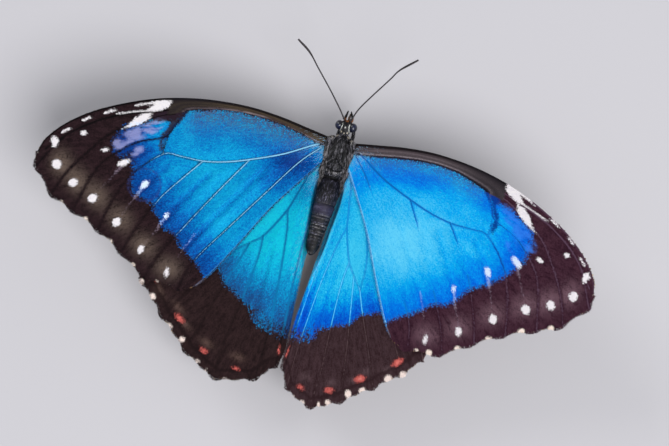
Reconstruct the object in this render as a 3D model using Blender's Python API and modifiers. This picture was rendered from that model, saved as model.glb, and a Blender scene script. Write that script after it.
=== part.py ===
"""Blue morpho butterfly, life-size, standing with its wings spread.

The head looks along -Y and +X is the animal's left. Body lengths are in
millimetres from the thorax centre until the last step, which sets the
origin under the middle of the whole model, on the floor.
"""
from math import atan2, cos, hypot, pi, radians, sin, sqrt, tan

import bmesh
import bpy
from mathutils import Matrix, Vector

MM = 0.001
GAP = 0.3
THORAX_HEIGHT = 13.0             # thorax centre above the floor

# Turned body parts: (y, radius) pairs from the front to the rear.
THORAX_PROFILE = [(-5.5, 0.0), (-5.5, 1.0), (-4.7, 1.6), (-3.3, 2.2), (-1.3, 2.65),
                  (0.7, 2.8), (2.5, 2.7), (3.8, 2.45), (4.6, 2.1), (4.6, 0.0)]
THORAX_DEEPER = 1.07             # height over width
ABDOMEN_START, ABDOMEN_END = 4.95, 22.8
ABDOMEN_RADIUS = 2.55
ABDOMEN_TURN = radians(1.2)      # its tip leans this far to the animal's left
ABDOMEN_RINGS = 8
RING_SWELL = 0.12                # how far each ring stands over the seams
TURNED_SIDES = 20

HEAD_CENTRE = (0.0, -7.4, 0.0)
HEAD_HALF = (1.6, 1.5, 1.5)
EYE_CENTRE = (1.6, -7.5, 0.15)
EYE_HALF = (0.95, 1.1, 1.2)

PALP_PATH = [(0.92, -8.9, -1.5), (0.9, -9.7, -1.1), (0.7, -10.3, -0.2), (0.45, -10.9, 0.9)]
PALP_RADII = [0.28, 0.32, 0.3, 0.25]
PROBOSCIS_CENTRE = (0.0, -9.9, -2.1)
PROBOSCIS_RADIUS = 0.25
COIL_OUTER, COIL_INNER, COIL_TURNS, COIL_STEPS = 1.35, 0.35, 1.2, 22

ANTENNA_LEFT = [(0.85, -9.0, 1.2), (2.5, -11.1, 1.8), (5.5, -14.5, 2.6),
                (9.0, -18.2, 3.2), (12.0, -21.4, 3.5), (15.1, -23.5, 3.6)]
ANTENNA_RIGHT = [(-0.85, -9.0, 1.2), (-1.9, -11.7, 1.8), (-3.9, -14.9, 2.6),
                 (-7.2, -19.9, 3.2), (-8.8, -22.4, 3.5), (-12.1, -25.5, 3.6)]
ANTENNA_RADIUS, CLUB_RADIUS = 0.26, 0.38

# Wings lie flat as (span, rear) points from their own root.
WING_THICKNESS = 0.5
WING_ARCH, WING_ARCH_SPAN = 0.9, 58.0
WING_ROWS = 7
DIHEDRAL = {1: radians(12.6), -1: radians(16.1)}

FOREWING_ROOT = (3.55, -2.8, 1.25)
FOREWING_COSTA = [(-0.4, -1.0), (5.0, -1.7), (12.0, -2.5), (20.0, -2.6), (30.0, -1.3),
                  (40.0, 1.6), (50.0, 6.5), (56.5, 11.4), (60.2, 16.0), (61.3, 19.3)]
FOREWING_INNER = [(-0.4, 4.6), (3.5, 10.6), (8.0, 17.8), (12.3, 26.4), (17.0, 35.2),
                  (20.0, 39.1), (23.2, 40.7)]
FOREWING_VEIN_ENDS = [(23.2, 40.7), (31.1, 40.1), (37.6, 36.3), (43.8, 32.8), (50.3, 30.1),
                      (55.9, 27.8), (60.9, 22.6), (61.3, 19.3)]
FOREWING_SCALLOP = 0.5
FOREWING_TORNUS_SHARE = 0.44     # costa share that faces the inner margin

HINDWING_ROOT = (3.55, 1.5, 0.25)
# The right hindwing is partly fanned shut and swung towards the abdomen:
# share of its spread kept, swing, and the extra fold of its inner field.
HINDWING_FOLD = {1: (1.0, 0.0, 0.0), -1: (0.84, radians(3.8), 0.22)}
INNER_FIELD = radians(5.0)
HINDWING_COSTA = [(-0.3, -0.8), (8.0, 0.2), (18.0, 4.6), (26.5, 12.2), (32.4, 21.3),
                  (35.0, 27.8), (35.1, 31.2)]
HINDWING_INNER = [(-0.3, 3.0), (-1.3, 6.0), (-1.9, 10.0), (-2.0, 17.0), (-2.2, 25.0),
                  (-2.6, 33.0), (-2.95, 40.0), (-3.0, 44.0), (-2.2, 47.4)]
HINDWING_VEIN_ENDS = [(-2.2, 47.4), (1.8, 51.5), (10.4, 53.5), (18.2, 49.4), (25.4, 43.1),
                      (31.6, 36.9), (35.1, 31.2)]
HINDWING_SCALLOP = 0.75
HINDWING_ANAL_SHARE = 0.35
CELL_STEPS = 4
FULL_CELL = 6.0                  # narrower cells have shallower scallops

# The inner part of each hindwing sinks into a gutter under the abdomen.
GUTTER_CLEARANCE = 0.8
GUTTER_END = 31.0                # y where the gutter has reached its least depth
GUTTER_LEAST = 1.0

# Legs, left side: coxa, trochanter, knee, ankle, ball, toe.
LEG_RADII = {"femur": 0.42, "tibia": 0.34, "tarsus": 0.29}
SOLE_DROP = 0.01                 # the sole facet is pressed flat by this much
FLOOR = -THORAX_HEIGHT
MIDLEG = [(1.5, -0.8, -2.9), (2.5, -1.3, -4.3), (7.6, -3.2, -3.9),
          (10.6, -4.1, FLOOR + 2.0), (11.5, -4.3, FLOOR), (15.8, -5.0, FLOOR)]
HINDLEG = [(1.4, 2.0, -2.85), (2.2, 3.0, -4.3), (7.2, 8.4, -4.3),
           (9.8, 14.5, FLOOR + 2.0), (10.3, 16.2, FLOOR), (11.4, 21.0, FLOOR)]
FORELEG = [(1.2, -3.9, -2.75), (1.7, -5.6, -3.7), (1.5, -7.6, -3.3), (1.3, -8.4, -2.4)]
FORELEG_RADII = [0.36, 0.4, 0.32, 0.25]

DARK_HAIR = (0.035, 0.028, 0.024)
CHITIN = (0.015, 0.012, 0.011)
MORPHO_BLUE = (0.01, 0.22, 0.72)
EYE_BROWN = (0.02, 0.018, 0.03)
SIDES = {1: "left", -1: "right"}


# ---------------------------------------------------------------- helpers
def clear_scene():
    for ob in list(bpy.data.objects):
        bpy.data.objects.remove(ob, do_unlink=True)


def new_collection(name):
    collection = bpy.data.collections.new(name)
    bpy.context.scene.collection.children.link(collection)
    return collection


def add_material(ob, colour, roughness, metallic=0.0):
    material = bpy.data.materials.new(ob.name)
    material.use_nodes = True
    shader = material.node_tree.nodes["Principled BSDF"]
    shader.inputs["Base Color"].default_value = (*colour, 1.0)
    shader.inputs["Roughness"].default_value = roughness
    shader.inputs["Metallic"].default_value = metallic
    ob.data.materials.clear()
    ob.data.materials.append(material)


def add_object(name, data, collection, location=(0.0, 0.0, 0.0)):
    ob = bpy.data.objects.new(name, data)
    ob.location = Vector(location) * MM
    collection.objects.link(ob)
    return ob


def mirrored(points, side):
    return [(side * x, y, z) for x, y, z in points]


def smooth_step(value):
    value = min(max(value, 0.0), 1.0)
    return value * value * (3.0 - 2.0 * value)


def smooth_curve(points, steps):
    """Catmull-Rom curve through the points, with steps samples per span."""
    points = [Vector(p) for p in points]
    ends = [2 * points[0] - points[1], *points, 2 * points[-1] - points[-2]]
    curve = []
    for a, b, c, d in zip(ends, ends[1:], ends[2:], ends[3:]):
        for i in range(steps):
            u = i / steps
            curve.append(0.5 * (2 * b + (c - a) * u + (2 * a - 5 * b + 4 * c - d) * u * u
                                + (3 * b - a - 3 * c + d) * u ** 3))
    return curve + [points[-1]]


def shares_of_length(line):
    """How far along the line each point is, from 0 to 1."""
    lengths = [0.0]
    for a, b in zip(line, line[1:]):
        lengths.append(lengths[-1] + (b - a).length)
    return [length / lengths[-1] for length in lengths]


def point_at(line, shares, share):
    """The point a given share of the way along the line."""
    for (a, b), (start, end) in zip(zip(line, line[1:]), zip(shares, shares[1:])):
        if share <= end:
            return a.lerp(b, (share - start) / (end - start))
    return line[-1].copy()


def tube(name, path, radii, collection, resolution=2):
    """A closed round tube along the path, as a mesh with welded caps."""
    curve = bpy.data.curves.new(name, "CURVE")
    curve.dimensions = "3D"
    curve.bevel_depth = MM
    curve.bevel_resolution = resolution
    curve.use_fill_caps = True
    spline = curve.splines.new("POLY")
    spline.points.add(len(path) - 1)
    for point, place, radius in zip(spline.points, path, radii):
        point.co = (*(Vector(place) * MM), 1.0)
        point.radius = radius
    guide = add_object(name + "_guide", curve, collection)
    depsgraph = bpy.context.evaluated_depsgraph_get()
    mesh = bpy.data.meshes.new_from_object(guide.evaluated_get(depsgraph))
    bpy.data.objects.remove(guide, do_unlink=True)
    bm = bmesh.new()
    bm.from_mesh(mesh)
    bmesh.ops.remove_doubles(bm, verts=bm.verts, dist=1e-6)
    bmesh.ops.recalc_face_normals(bm, faces=bm.faces)
    bm.to_mesh(mesh)
    bm.free()
    mesh.shade_smooth()
    return add_object(name, mesh, collection)


def ellipsoid(name, centre, half, segments, rings, collection):
    mesh = bpy.data.meshes.new(name)
    bm = bmesh.new()
    bmesh.ops.create_uvsphere(bm, u_segments=segments, v_segments=rings, radius=MM,
                              matrix=Matrix.Diagonal((*half, 1.0)))
    bm.to_mesh(mesh)
    bm.free()
    mesh.shade_smooth()
    return add_object(name, mesh, collection, centre)


def turned(name, profile, deeper, collection):
    """A round body part turned about the Y axis from (y, radius) pairs."""
    mesh = bpy.data.meshes.new(name)
    corners = [(radius * MM, 0.0, -y * MM) for y, radius in profile]
    mesh.from_pydata(corners, [(i, i + 1) for i in range(len(corners) - 1)], [])
    ob = add_object(name, mesh, collection)
    ob.rotation_euler = (pi / 2, 0.0, 0.0)
    ob.scale = (1.0, deeper, 1.0)
    screw = ob.modifiers.new("Turn", "SCREW")
    screw.steps = screw.render_steps = TURNED_SIDES
    screw.use_merge_vertices = True
    screw.merge_threshold = 1e-5
    screw.use_smooth_shade = True
    return ob


# ------------------------------------------------------------------- body
def abdomen_radius(y):
    """Radius of the abdomen at y, with neither its rings nor its end caps."""
    along = min(max((y - ABDOMEN_START) / (ABDOMEN_END - ABDOMEN_START), 0.0), 1.0)
    waist = 0.84 + 0.16 * smooth_step(along / 0.14)
    taper = 1.0 - 0.36 * smooth_step((along - 0.25) / 0.65)
    tail = sqrt(max(1.0 - (max(along - 0.84, 0.0) / 0.16) ** 2, 0.0))
    return ABDOMEN_RADIUS * waist * taper * tail


def abdomen_profile():
    profile = [(ABDOMEN_START, 0.0)]
    samples = 3 * ABDOMEN_RINGS
    for i in range(samples):
        y = ABDOMEN_START + (ABDOMEN_END - ABDOMEN_START) * i / samples
        swell = RING_SWELL * (0.5 - 0.5 * cos(2 * pi * i / 3))
        profile.append((y, abdomen_radius(y) - RING_SWELL + swell))
    return profile + [(ABDOMEN_END, 0.0)]


def make_body(collection):
    thorax = turned("thorax", THORAX_PROFILE, THORAX_DEEPER, collection)
    abdomen = turned("abdomen", abdomen_profile(), 1.0, collection)
    abdomen.rotation_euler.z = -ABDOMEN_TURN
    for ob in (thorax, abdomen):
        add_material(ob, DARK_HAIR, 0.85)


def make_head(collection, cutters):
    head = ellipsoid("head", HEAD_CENTRE, HEAD_HALF, 20, 14, collection)
    add_material(head, DARK_HAIR, 0.85)
    for side, word in SIDES.items():
        centre = mirrored([EYE_CENTRE], side)[0]
        eye = ellipsoid("eye_" + word, centre, EYE_HALF, 16, 10, collection)
        add_material(eye, EYE_BROWN, 0.15)
        room = [half + GAP for half in EYE_HALF]
        socket = ellipsoid("eye_socket_" + word, centre, room, 16, 10, cutters)
        socket.hide_render = True
        socket.display_type = "WIRE"
        cut = head.modifiers.new("Eye socket", "BOOLEAN")
        cut.object = socket
        cut.operation = "DIFFERENCE"
        cut.solver = "EXACT"


def make_mouth(collection):
    for side, word in SIDES.items():
        palp = tube("palp_" + word, mirrored(PALP_PATH, side), PALP_RADII, collection)
        add_material(palp, DARK_HAIR, 0.85)
    path = []
    for i in range(COIL_STEPS + 1):
        turn = i / COIL_STEPS
        radius = COIL_OUTER + (COIL_INNER - COIL_OUTER) * turn
        angle = pi / 2 - 2 * pi * COIL_TURNS * turn
        x, y, z = PROBOSCIS_CENTRE
        path.append((x, y + radius * cos(angle), z + radius * sin(angle)))
    coil = tube("proboscis", path, [PROBOSCIS_RADIUS] * len(path), collection)
    add_material(coil, CHITIN, 0.4)


def make_antennae(collection):
    for word, points in (("left", ANTENNA_LEFT), ("right", ANTENNA_RIGHT)):
        path = smooth_curve(points, 3)
        radii = []
        for share in shares_of_length(path):
            club = sin(pi * min(max((share - 0.72) / 0.34, 0.0), 1.0))
            radii.append(ANTENNA_RADIUS + (CLUB_RADIUS - ANTENNA_RADIUS) * club)
        antenna = tube("antenna_" + word, path, radii, collection)
        add_material(antenna, CHITIN, 0.5)


# ------------------------------------------------------------------ wings
def scalloped_margin(ends, depth, lobes):
    """The outer margin: each cell between two vein ends dips inwards."""
    base = smooth_curve(ends, CELL_STEPS)
    line = [base[0]]
    for i in range(1, len(base) - 1):
        along = base[i + 1] - base[i - 1]
        inward = Vector((along.y, -along.x)).normalized()
        u = (i % CELL_STEPS) / CELL_STEPS
        dip = 0.45 * sin(pi * u) ** 2 + 0.55 * sin(lobes * pi * u) ** 2
        cell = i // CELL_STEPS
        width = (Vector(ends[cell + 1]) - Vector(ends[cell])).length
        line.append(base[i] + inward * depth * dip * min(1.0, width / FULL_CELL))
    return line + [base[-1]]


def wing_grid(costa, inner, margin, share_at_corner):
    """Rows of flat points, from the costa at v = 0 to the rear edge at v = 1."""
    front = smooth_curve(costa, 6)
    front_shares = shares_of_length(front)
    rear = smooth_curve(inner, 2)[:-1] + margin
    rear_shares = shares_of_length(rear)
    corner = rear_shares[len(rear) - len(margin)]
    columns = []
    for point, share in zip(rear, rear_shares):
        if share <= corner:
            facing = share_at_corner * share / corner
        else:
            beyond = (share - corner) / (1.0 - corner)
            facing = share_at_corner + (1.0 - share_at_corner) * beyond
        start = point_at(front, front_shares, facing)
        columns.append([start.lerp(point, v / WING_ROWS) for v in range(WING_ROWS + 1)])
    return columns


def fold_flat(point, fold, swing, inner_fold):
    """Closes the fan of a wing: every angle from the rearward line shrinks."""
    s, t = point
    angle = atan2(s, t)
    folded = angle * fold - swing + max(INNER_FIELD - angle, 0.0) * inner_fold
    return (hypot(s, t) * sin(folded), hypot(s, t) * cos(folded))


def plane_height(x, root, dihedral):
    """Height of the arched wing at distance x from the body's mid plane."""
    span = x - root[0]
    arch = WING_ARCH * sin(pi * span / WING_ARCH_SPAN) if span > 0 else 0.0
    return root[2] + span * tan(dihedral) + arch


def gutter_radius(y):
    beyond = smooth_step((y - 17.0) / (GUTTER_END - 17.0))
    body = abdomen_radius(min(y, 17.0)) + GUTTER_CLEARANCE
    return body + (GUTTER_LEAST - body) * beyond


def gutter_height(x, y, flat_height):
    """Near the mid plane the hindwing follows a gutter round the abdomen."""
    radius = gutter_radius(y)
    round_part = -sqrt(max(radius ** 2 - x ** 2, 0.0))
    leave = smooth_step((x - 0.6 * radius) / (0.9 * radius))
    start = smooth_step((y - 3.5) / 3.0)
    sunk = round_part * (1.0 - leave) + flat_height * leave
    return flat_height + (sunk - flat_height) * start


def wing_object(name, columns, root, side, to_body, collection):
    """A wing shell from its flat grid; to_body gives x, y, z of a flat point."""
    mesh = bpy.data.meshes.new(name)
    centre = Vector(root)
    corners, faces = [], []
    for column in columns:
        for point in column:
            x, y, z = Vector(to_body(point)) - centre
            corners.append((side * x * MM, y * MM, z * MM))
    high = len(columns[0])
    for i in range(len(columns) - 1):
        for j in range(high - 1):
            a = i * high + j
            faces.append((a, a + 1, a + high + 1, a + high))
    mesh.from_pydata(corners, [], faces)
    bm = bmesh.new()
    bm.from_mesh(mesh)
    bmesh.ops.remove_doubles(bm, verts=bm.verts, dist=1e-6)
    bmesh.ops.recalc_face_normals(bm, faces=bm.faces)
    bm.to_mesh(mesh)
    bm.free()
    mesh.shade_smooth()
    ob = add_object(name, mesh, collection, (side * root[0], root[1], root[2]))
    shell = ob.modifiers.new("Thickness", "SOLIDIFY")
    shell.thickness = WING_THICKNESS * MM
    shell.offset = 0.0
    add_material(ob, MORPHO_BLUE, 0.4, 0.6)
    return ob


def make_forewing(side, word, collection):
    margin = scalloped_margin(FOREWING_VEIN_ENDS, FOREWING_SCALLOP, 1)
    columns = wing_grid(FOREWING_COSTA, FOREWING_INNER, margin, FOREWING_TORNUS_SHARE)

    def to_body(point):
        x = FOREWING_ROOT[0] + point[0] * cos(DIHEDRAL[side])
        y = FOREWING_ROOT[1] + point[1]
        return (x, y, plane_height(x, FOREWING_ROOT, DIHEDRAL[side]))

    wing_object("forewing_" + word, columns, FOREWING_ROOT, side, to_body, collection)


def make_hindwing(side, word, collection):
    margin = scalloped_margin(HINDWING_VEIN_ENDS, HINDWING_SCALLOP, 2)
    columns = wing_grid(HINDWING_COSTA, HINDWING_INNER, margin, HINDWING_ANAL_SHARE)

    def to_body(point):
        s, t = fold_flat(point, *HINDWING_FOLD[side])
        x = HINDWING_ROOT[0] + s * cos(DIHEDRAL[side])
        y = HINDWING_ROOT[1] + t
        flat_height = plane_height(x, HINDWING_ROOT, DIHEDRAL[side])
        return (x, y, gutter_height(x, y, flat_height))

    wing_object("hindwing_" + word, columns, HINDWING_ROOT, side, to_body, collection)


# ------------------------------------------------------------------- legs
def joint_trim(before, joint, after, radius):
    """How far a tube stops short of a joint, so the next one keeps its gap."""
    bend = (Vector(joint) - Vector(before)).angle(Vector(after) - Vector(joint))
    return radius * tan(bend / 2) + GAP / 2 / cos(bend / 2)


def moved_towards(point, target, distance):
    point, target = Vector(point), Vector(target)
    return point + (target - point).normalized() * distance


def make_leg(prefix, points, side, word, collection):
    coxa, trochanter, knee, ankle, ball, toe = mirrored(points, side)
    lift = Vector((0.0, 0.0, LEG_RADII["tarsus"] * cos(pi / 8) - SOLE_DROP))
    ball, toe = Vector(ball) + lift, Vector(toe) + lift
    knee_trim = joint_trim(trochanter, knee, ankle, LEG_RADII["femur"])
    ankle_trim = joint_trim(knee, ankle, ball, LEG_RADII["tibia"])
    paths = {
        "femur": [coxa, trochanter, moved_towards(knee, trochanter, knee_trim)],
        "tibia": [moved_towards(knee, ankle, knee_trim), moved_towards(ankle, knee, ankle_trim)],
        "tarsus": [moved_towards(ankle, ball, ankle_trim), ball, toe],
    }
    for part, path in paths.items():
        ob = tube(f"{prefix}_{part}_{word}", path, [LEG_RADII[part]] * len(path), collection)
        for vertex in ob.data.vertices:
            vertex.co.z = max(vertex.co.z, FLOOR * MM)
        add_material(ob, CHITIN, 0.5)


def make_legs(collection):
    for side, word in SIDES.items():
        foreleg = tube("foreleg_" + word, mirrored(FORELEG, side), FORELEG_RADII, collection)
        add_material(foreleg, DARK_HAIR, 0.85)
        make_leg("midleg", MIDLEG, side, word, collection)
        make_leg("hindleg", HINDLEG, side, word, collection)


# --------------------------------------------------------------- assembly
def set_origin_under_middle(collection):
    """Parents every part to an empty that puts the origin on the floor."""
    bpy.context.view_layer.update()
    depsgraph = bpy.context.evaluated_depsgraph_get()
    corners = []
    for ob in collection.objects:
        shape = ob.evaluated_get(depsgraph)
        corners += [shape.matrix_world @ vertex.co for vertex in shape.data.vertices]
    middle = [(min(c[i] for c in corners) + max(c[i] for c in corners)) / 2 for i in range(2)]
    lowest = min(c.z for c in corners)
    holder = bpy.data.objects.new("butterfly", None)
    bpy.context.scene.collection.objects.link(holder)
    holder.location = (-middle[0], -middle[1], -lowest)
    for group in (collection, bpy.data.collections["cutters"]):
        for ob in group.objects:
            ob.parent = holder


def main():
    clear_scene()
    collection = new_collection("blue_morpho_butterfly")
    cutters = new_collection("cutters")
    make_body(collection)
    make_head(collection, cutters)
    make_mouth(collection)
    make_antennae(collection)
    for side, word in SIDES.items():
        make_forewing(side, word, collection)
        make_hindwing(side, word, collection)
    make_legs(collection)
    set_origin_under_middle(collection)


main()
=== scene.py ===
# %% [markdown]
# # A blue morpho butterfly, standing with its wings spread
#
# The solid model of the butterfly is already made, one named node for each
# part of its body. This notebook dresses it. We load the solids as a fixed
# frame and measure them, and every piece below is placed from that.
# Lengths are in millimetres from the middle of the thorax, with the head
# looking along -Y and +X on the animal's left.

# %% Load the frame
from math import cos, pi, radians, sin, tan

import bmesh
import bpy
import numpy as np
from mathutils import Matrix, Vector


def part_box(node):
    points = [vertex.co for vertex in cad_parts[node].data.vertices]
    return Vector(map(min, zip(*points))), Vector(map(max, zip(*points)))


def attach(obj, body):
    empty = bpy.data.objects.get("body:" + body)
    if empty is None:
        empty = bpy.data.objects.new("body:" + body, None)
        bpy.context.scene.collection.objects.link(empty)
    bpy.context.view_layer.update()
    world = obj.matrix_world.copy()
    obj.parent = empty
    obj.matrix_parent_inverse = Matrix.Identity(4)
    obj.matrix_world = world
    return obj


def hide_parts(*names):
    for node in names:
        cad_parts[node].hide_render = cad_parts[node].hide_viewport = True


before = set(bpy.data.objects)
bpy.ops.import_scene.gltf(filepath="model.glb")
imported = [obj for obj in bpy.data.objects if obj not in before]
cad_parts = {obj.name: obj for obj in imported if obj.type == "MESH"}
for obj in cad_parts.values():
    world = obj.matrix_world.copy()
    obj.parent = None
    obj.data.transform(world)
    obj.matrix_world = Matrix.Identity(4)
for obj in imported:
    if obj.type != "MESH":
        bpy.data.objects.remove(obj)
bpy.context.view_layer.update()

MM = 0.001
SIDES = {1: "left", -1: "right"}
THORAX_FRONT, THORAX_REAR = -5.5, 4.6

low, high = (Vector(corner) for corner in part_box("thorax"))
HOME = (low + high) / 2 - Vector((0.0, (THORAX_FRONT + THORAX_REAR) / 2, 0.0)) * MM
FLOOR = -HOME.z / MM
print("thorax centre stands %.1f mm above the floor" % -FLOOR)

# %% [markdown]
# ## The camera
#
# The butterfly is seen from almost straight above, with its head towards the
# top. A long lens from about 40 cm keeps the near and the far wing at the
# same scale. The view is described by how far the line of sight leans from
# the vertical, and by the roll of the camera.

# %% Set up the camera
VIEW_LEAN, VIEW_PITCH, VIEW_ROLL = radians(5.8), radians(3.7), radians(15.0)
VIEW_DISTANCE = 421.0
AIM_RIGHT, AIM_UP = -0.73, -14.66        # the aim, seen from the thorax
LENS = 100.0


def linked(name, data):
    """A new object that holds the data, put into the scene."""
    made = bpy.data.objects.new(name, data)
    bpy.context.scene.collection.objects.link(made)
    return made


back = Vector((-sin(VIEW_LEAN) * cos(VIEW_PITCH), sin(VIEW_PITCH),
               cos(VIEW_LEAN) * cos(VIEW_PITCH)))
ahead = Vector((0.0, -1.0, 0.0))
upright = (ahead - ahead.dot(back) * back).normalized()
up = Matrix.Rotation(VIEW_ROLL, 3, back) @ upright
right = up.cross(back)

camera = linked("camera", bpy.data.cameras.new("camera"))
bpy.context.scene.camera = camera
camera.data.lens = LENS
camera.data.clip_start, camera.data.clip_end = 0.01, 10.0
turn = Matrix((right, up, back)).transposed()
aim = HOME + (AIM_RIGHT * right + AIM_UP * up) * MM
camera.matrix_world = Matrix.Translation(aim + back * VIEW_DISTANCE * MM) @ turn.to_4x4()
print("camera %.0f mm above the floor" % (camera.matrix_world.translation.z / MM))

# %% [markdown]
# ## Short-hands for nodes
#
# Materials and Geometry Nodes are both trees of nodes. Small helpers add a
# node, set it up and wire it, so that each tree below reads as a list of what
# it does. Any value may be a number or the output of another node.

# %% Node helpers
def wire(tree, value, socket):
    """Links an output to a socket, or sets the socket's own value."""
    if isinstance(value, bpy.types.NodeSocket):
        tree.links.new(value, socket)
    else:
        socket.default_value = value


def node(tree, kind, settings=None, **inputs):
    """Adds a node; inputs are named after its sockets, with _ for a space."""
    made = tree.nodes.new(kind)
    for name, value in (settings or {}).items():
        setattr(made, name, value)
    for name, value in inputs.items():
        wire(tree, value, made.inputs[name.replace("_", " ")])
    return made


def maths(tree, operation, *values):
    made = node(tree, "ShaderNodeMath", {"operation": operation})
    for socket, value in zip(made.inputs, values):
        wire(tree, value, socket)
    return made.outputs[0]


def times(tree, first, second, *plus):
    """A product, to which a third value may be added."""
    return maths(tree, "MULTIPLY_ADD" if plus else "MULTIPLY", first, second, *plus)


def jittered(tree, value, random, amount):
    """A value that a random number moves up or down, by half the amount at most."""
    return times(tree, maths(tree, "SUBTRACT", random, 0.5), amount, value)


def vector_maths(tree, operation, first, second=None, scale=None):
    made = node(tree, "ShaderNodeVectorMath", {"operation": operation})
    wire(tree, first, made.inputs[0])
    if second is not None:
        wire(tree, second, made.inputs[1])
    if scale is not None:
        wire(tree, scale, made.inputs["Scale"])
    return made.outputs[0]


def rgb(red, green, blue):
    """A screen colour, 0 to 255 a channel, as the linear one shaders want."""
    linear = []
    for channel in (red, green, blue):
        share = channel / 255
        linear.append(share / 12.92 if share < 0.04045 else ((share + 0.055) / 1.055) ** 2.4)
    return (*linear, 1.0)


def mixed(tree, factor, first, second):
    """A colour between two others, each a socket or a screen colour."""
    made = node(tree, "ShaderNodeMix", {"data_type": "RGBA"})
    for place, value in ((0, factor), (6, first), (7, second)):
        wire(tree, rgb(*value) if isinstance(value, tuple) else value, made.inputs[place])
    return made.outputs[2]


def layered(tree, colour, *layers):
    """Lays tints over a colour; a layer is its mask, its tint and maybe its strength."""
    for mask, tint, *strength in layers:
        if strength:
            mask = times(tree, mask, *strength)
        colour = mixed(tree, mask, colour, tint)
    return colour


def ranged(tree, value, start, end, low=0.0, high=1.0):
    """A smooth step of a value from one range to another."""
    made = node(tree, "ShaderNodeMapRange", {"interpolation_type": "SMOOTHSTEP"})
    for socket, given in zip(made.inputs, (value, start, end, low, high)):
        wire(tree, given, socket)
    return made.outputs[0]


def painted(name, roughness, specular):
    """An empty material; returns it with its tree and its shader."""
    material = bpy.data.materials.new(name)
    material.use_nodes = True
    tree = material.node_tree
    shader = tree.nodes["Principled BSDF"]
    shader.inputs["Roughness"].default_value = roughness
    shader.inputs["Specular IOR Level"].default_value = specular
    return material, tree, shader


def attribute(tree, name, output="Fac"):
    return node(tree, "ShaderNodeAttribute", {"attribute_name": name}).outputs[output]


def noise(tree, place, scale, detail=2.0, dimensions="3D"):
    made = node(tree, "ShaderNodeTexNoise", {"noise_dimensions": dimensions}, Vector=place,
                Scale=scale, Detail=detail)
    return made.outputs[0]


def object_place(tree):
    return node(tree, "ShaderNodeTexCoord").outputs["Object"]


def bumped(tree, shader, height, distance, strength):
    bump = node(tree, "ShaderNodeBump", Height=height, Distance=distance, Strength=strength)
    wire(tree, bump.outputs[0], shader.inputs["Normal"])

# %% [markdown]
# ## Collecting a mesh
#
# A wing is a sheet with veins, and a leg is several tubes and claws. A small
# collector gathers such shapes into one mesh. Each point can carry named
# values, for instance how far it lies from a vein, and the materials and
# the coat read them later.

# %% The collector
WELD = 2e-6                      # points nearer than this are merged, in metres


class Shape:
    """Points in body millimetres, faces, and named values on each point."""

    def __init__(self):
        self.points, self.faces, self.slots, self.values = [], [], [], {}

    def add(self, points, faces, slot=0, **values):
        first = len(self.points)
        self.points.extend(tuple(map(float, point)) for point in points)
        self.faces.extend(tuple(corner + first for corner in face) for face in faces)
        self.slots.extend([slot] * len(faces))
        for name, column in values.items():
            self.values.setdefault(name, {})[first] = column
        return self

    def column(self, name):
        stretches = self.values[name]
        sample = np.asarray(next(iter(stretches.values())))
        filled = np.zeros((len(self.points), *sample.shape[1:]))
        for first, column in stretches.items():
            filled[first:first + len(column)] = column
        return filled

    def build(self, name, *materials, welded=True):
        mesh = bpy.data.meshes.new(name)
        mesh.from_pydata([HOME + Vector(p) * MM for p in self.points], [], self.faces)
        for material in materials:
            mesh.materials.append(material)
        mesh.polygons.foreach_set("material_index", self.slots)
        for label in self.values:
            store(mesh, label, self.column(label))
        if welded:
            face_outwards(mesh, WELD)
        mesh.shade_smooth()
        return linked(name, mesh)


def store(mesh, label, column):
    """Gives every point of a mesh a named number or vector."""
    vector = np.ndim(column) > 1
    layer = mesh.attributes.new(label, "FLOAT_VECTOR" if vector else "FLOAT", "POINT")
    layer.data.foreach_set("vector" if vector else "value", np.ravel(column))


def face_outwards(mesh, weld=None):
    """Merges doubles, if asked to, and turns all faces outwards."""
    bm = bmesh.new()
    bm.from_mesh(mesh)
    if weld:
        bmesh.ops.remove_doubles(bm, verts=bm.verts, dist=weld)
    bmesh.ops.recalc_face_normals(bm, faces=bm.faces)
    bm.to_mesh(mesh)
    bm.free()


def grid_faces(lines, across, round_it=True):
    """Quads between lines of points; a skin's lines run right round it."""
    return [(i * across + j, i * across + (j + 1) % across,
             (i + 1) * across + (j + 1) % across, (i + 1) * across + j)
            for i in range(lines - 1) for j in range(across if round_it else across - 1)]


def loft(rings):
    """Points and faces of a closed skin over rings that all have as many points."""
    sides = len(rings[0])
    points = [point for ring in rings for point in ring]
    ends = [tuple(reversed(range(sides))), tuple(range(len(points) - sides, len(points)))]
    return points, grid_faces(len(rings), sides) + ends


def tube_rings(path, radii, sides):
    """Rings round a path; the first direction across is kept along it."""
    path = [Vector(point) for point in path]
    across, rings = None, []
    for i, (place, radius) in enumerate(zip(path, map(float, radii))):
        along = (path[min(i + 1, len(path) - 1)] - path[max(i - 1, 0)]).normalized()
        if across is None:
            across = along.orthogonal().normalized()
        across = (across - across.dot(along) * along).normalized()
        other = along.cross(across)
        angles = [2 * pi * k / sides for k in range(sides)]
        rings.append([place + radius * (cos(angle) * across + sin(angle) * other)
                      for angle in angles])
    return rings


def ride(piece, slot, *nodes):
    """Every finished piece rides the one body, and may stand for solids."""
    if nodes:
        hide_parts(*nodes)
    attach(piece, "root")
    print("%-24s %7d faces" % (piece.name, len(piece.data.polygons)))

# %% [markdown]
# ## The outline of the wings
#
# Each wing is drawn flat first, as span and rearward distance from its own
# root. The front edge and the inner edge are smooth curves, and the outer
# edge dips a little between every two vein ends. The solids were made from
# the same values, so the dressed wings lie exactly in them.

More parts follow.
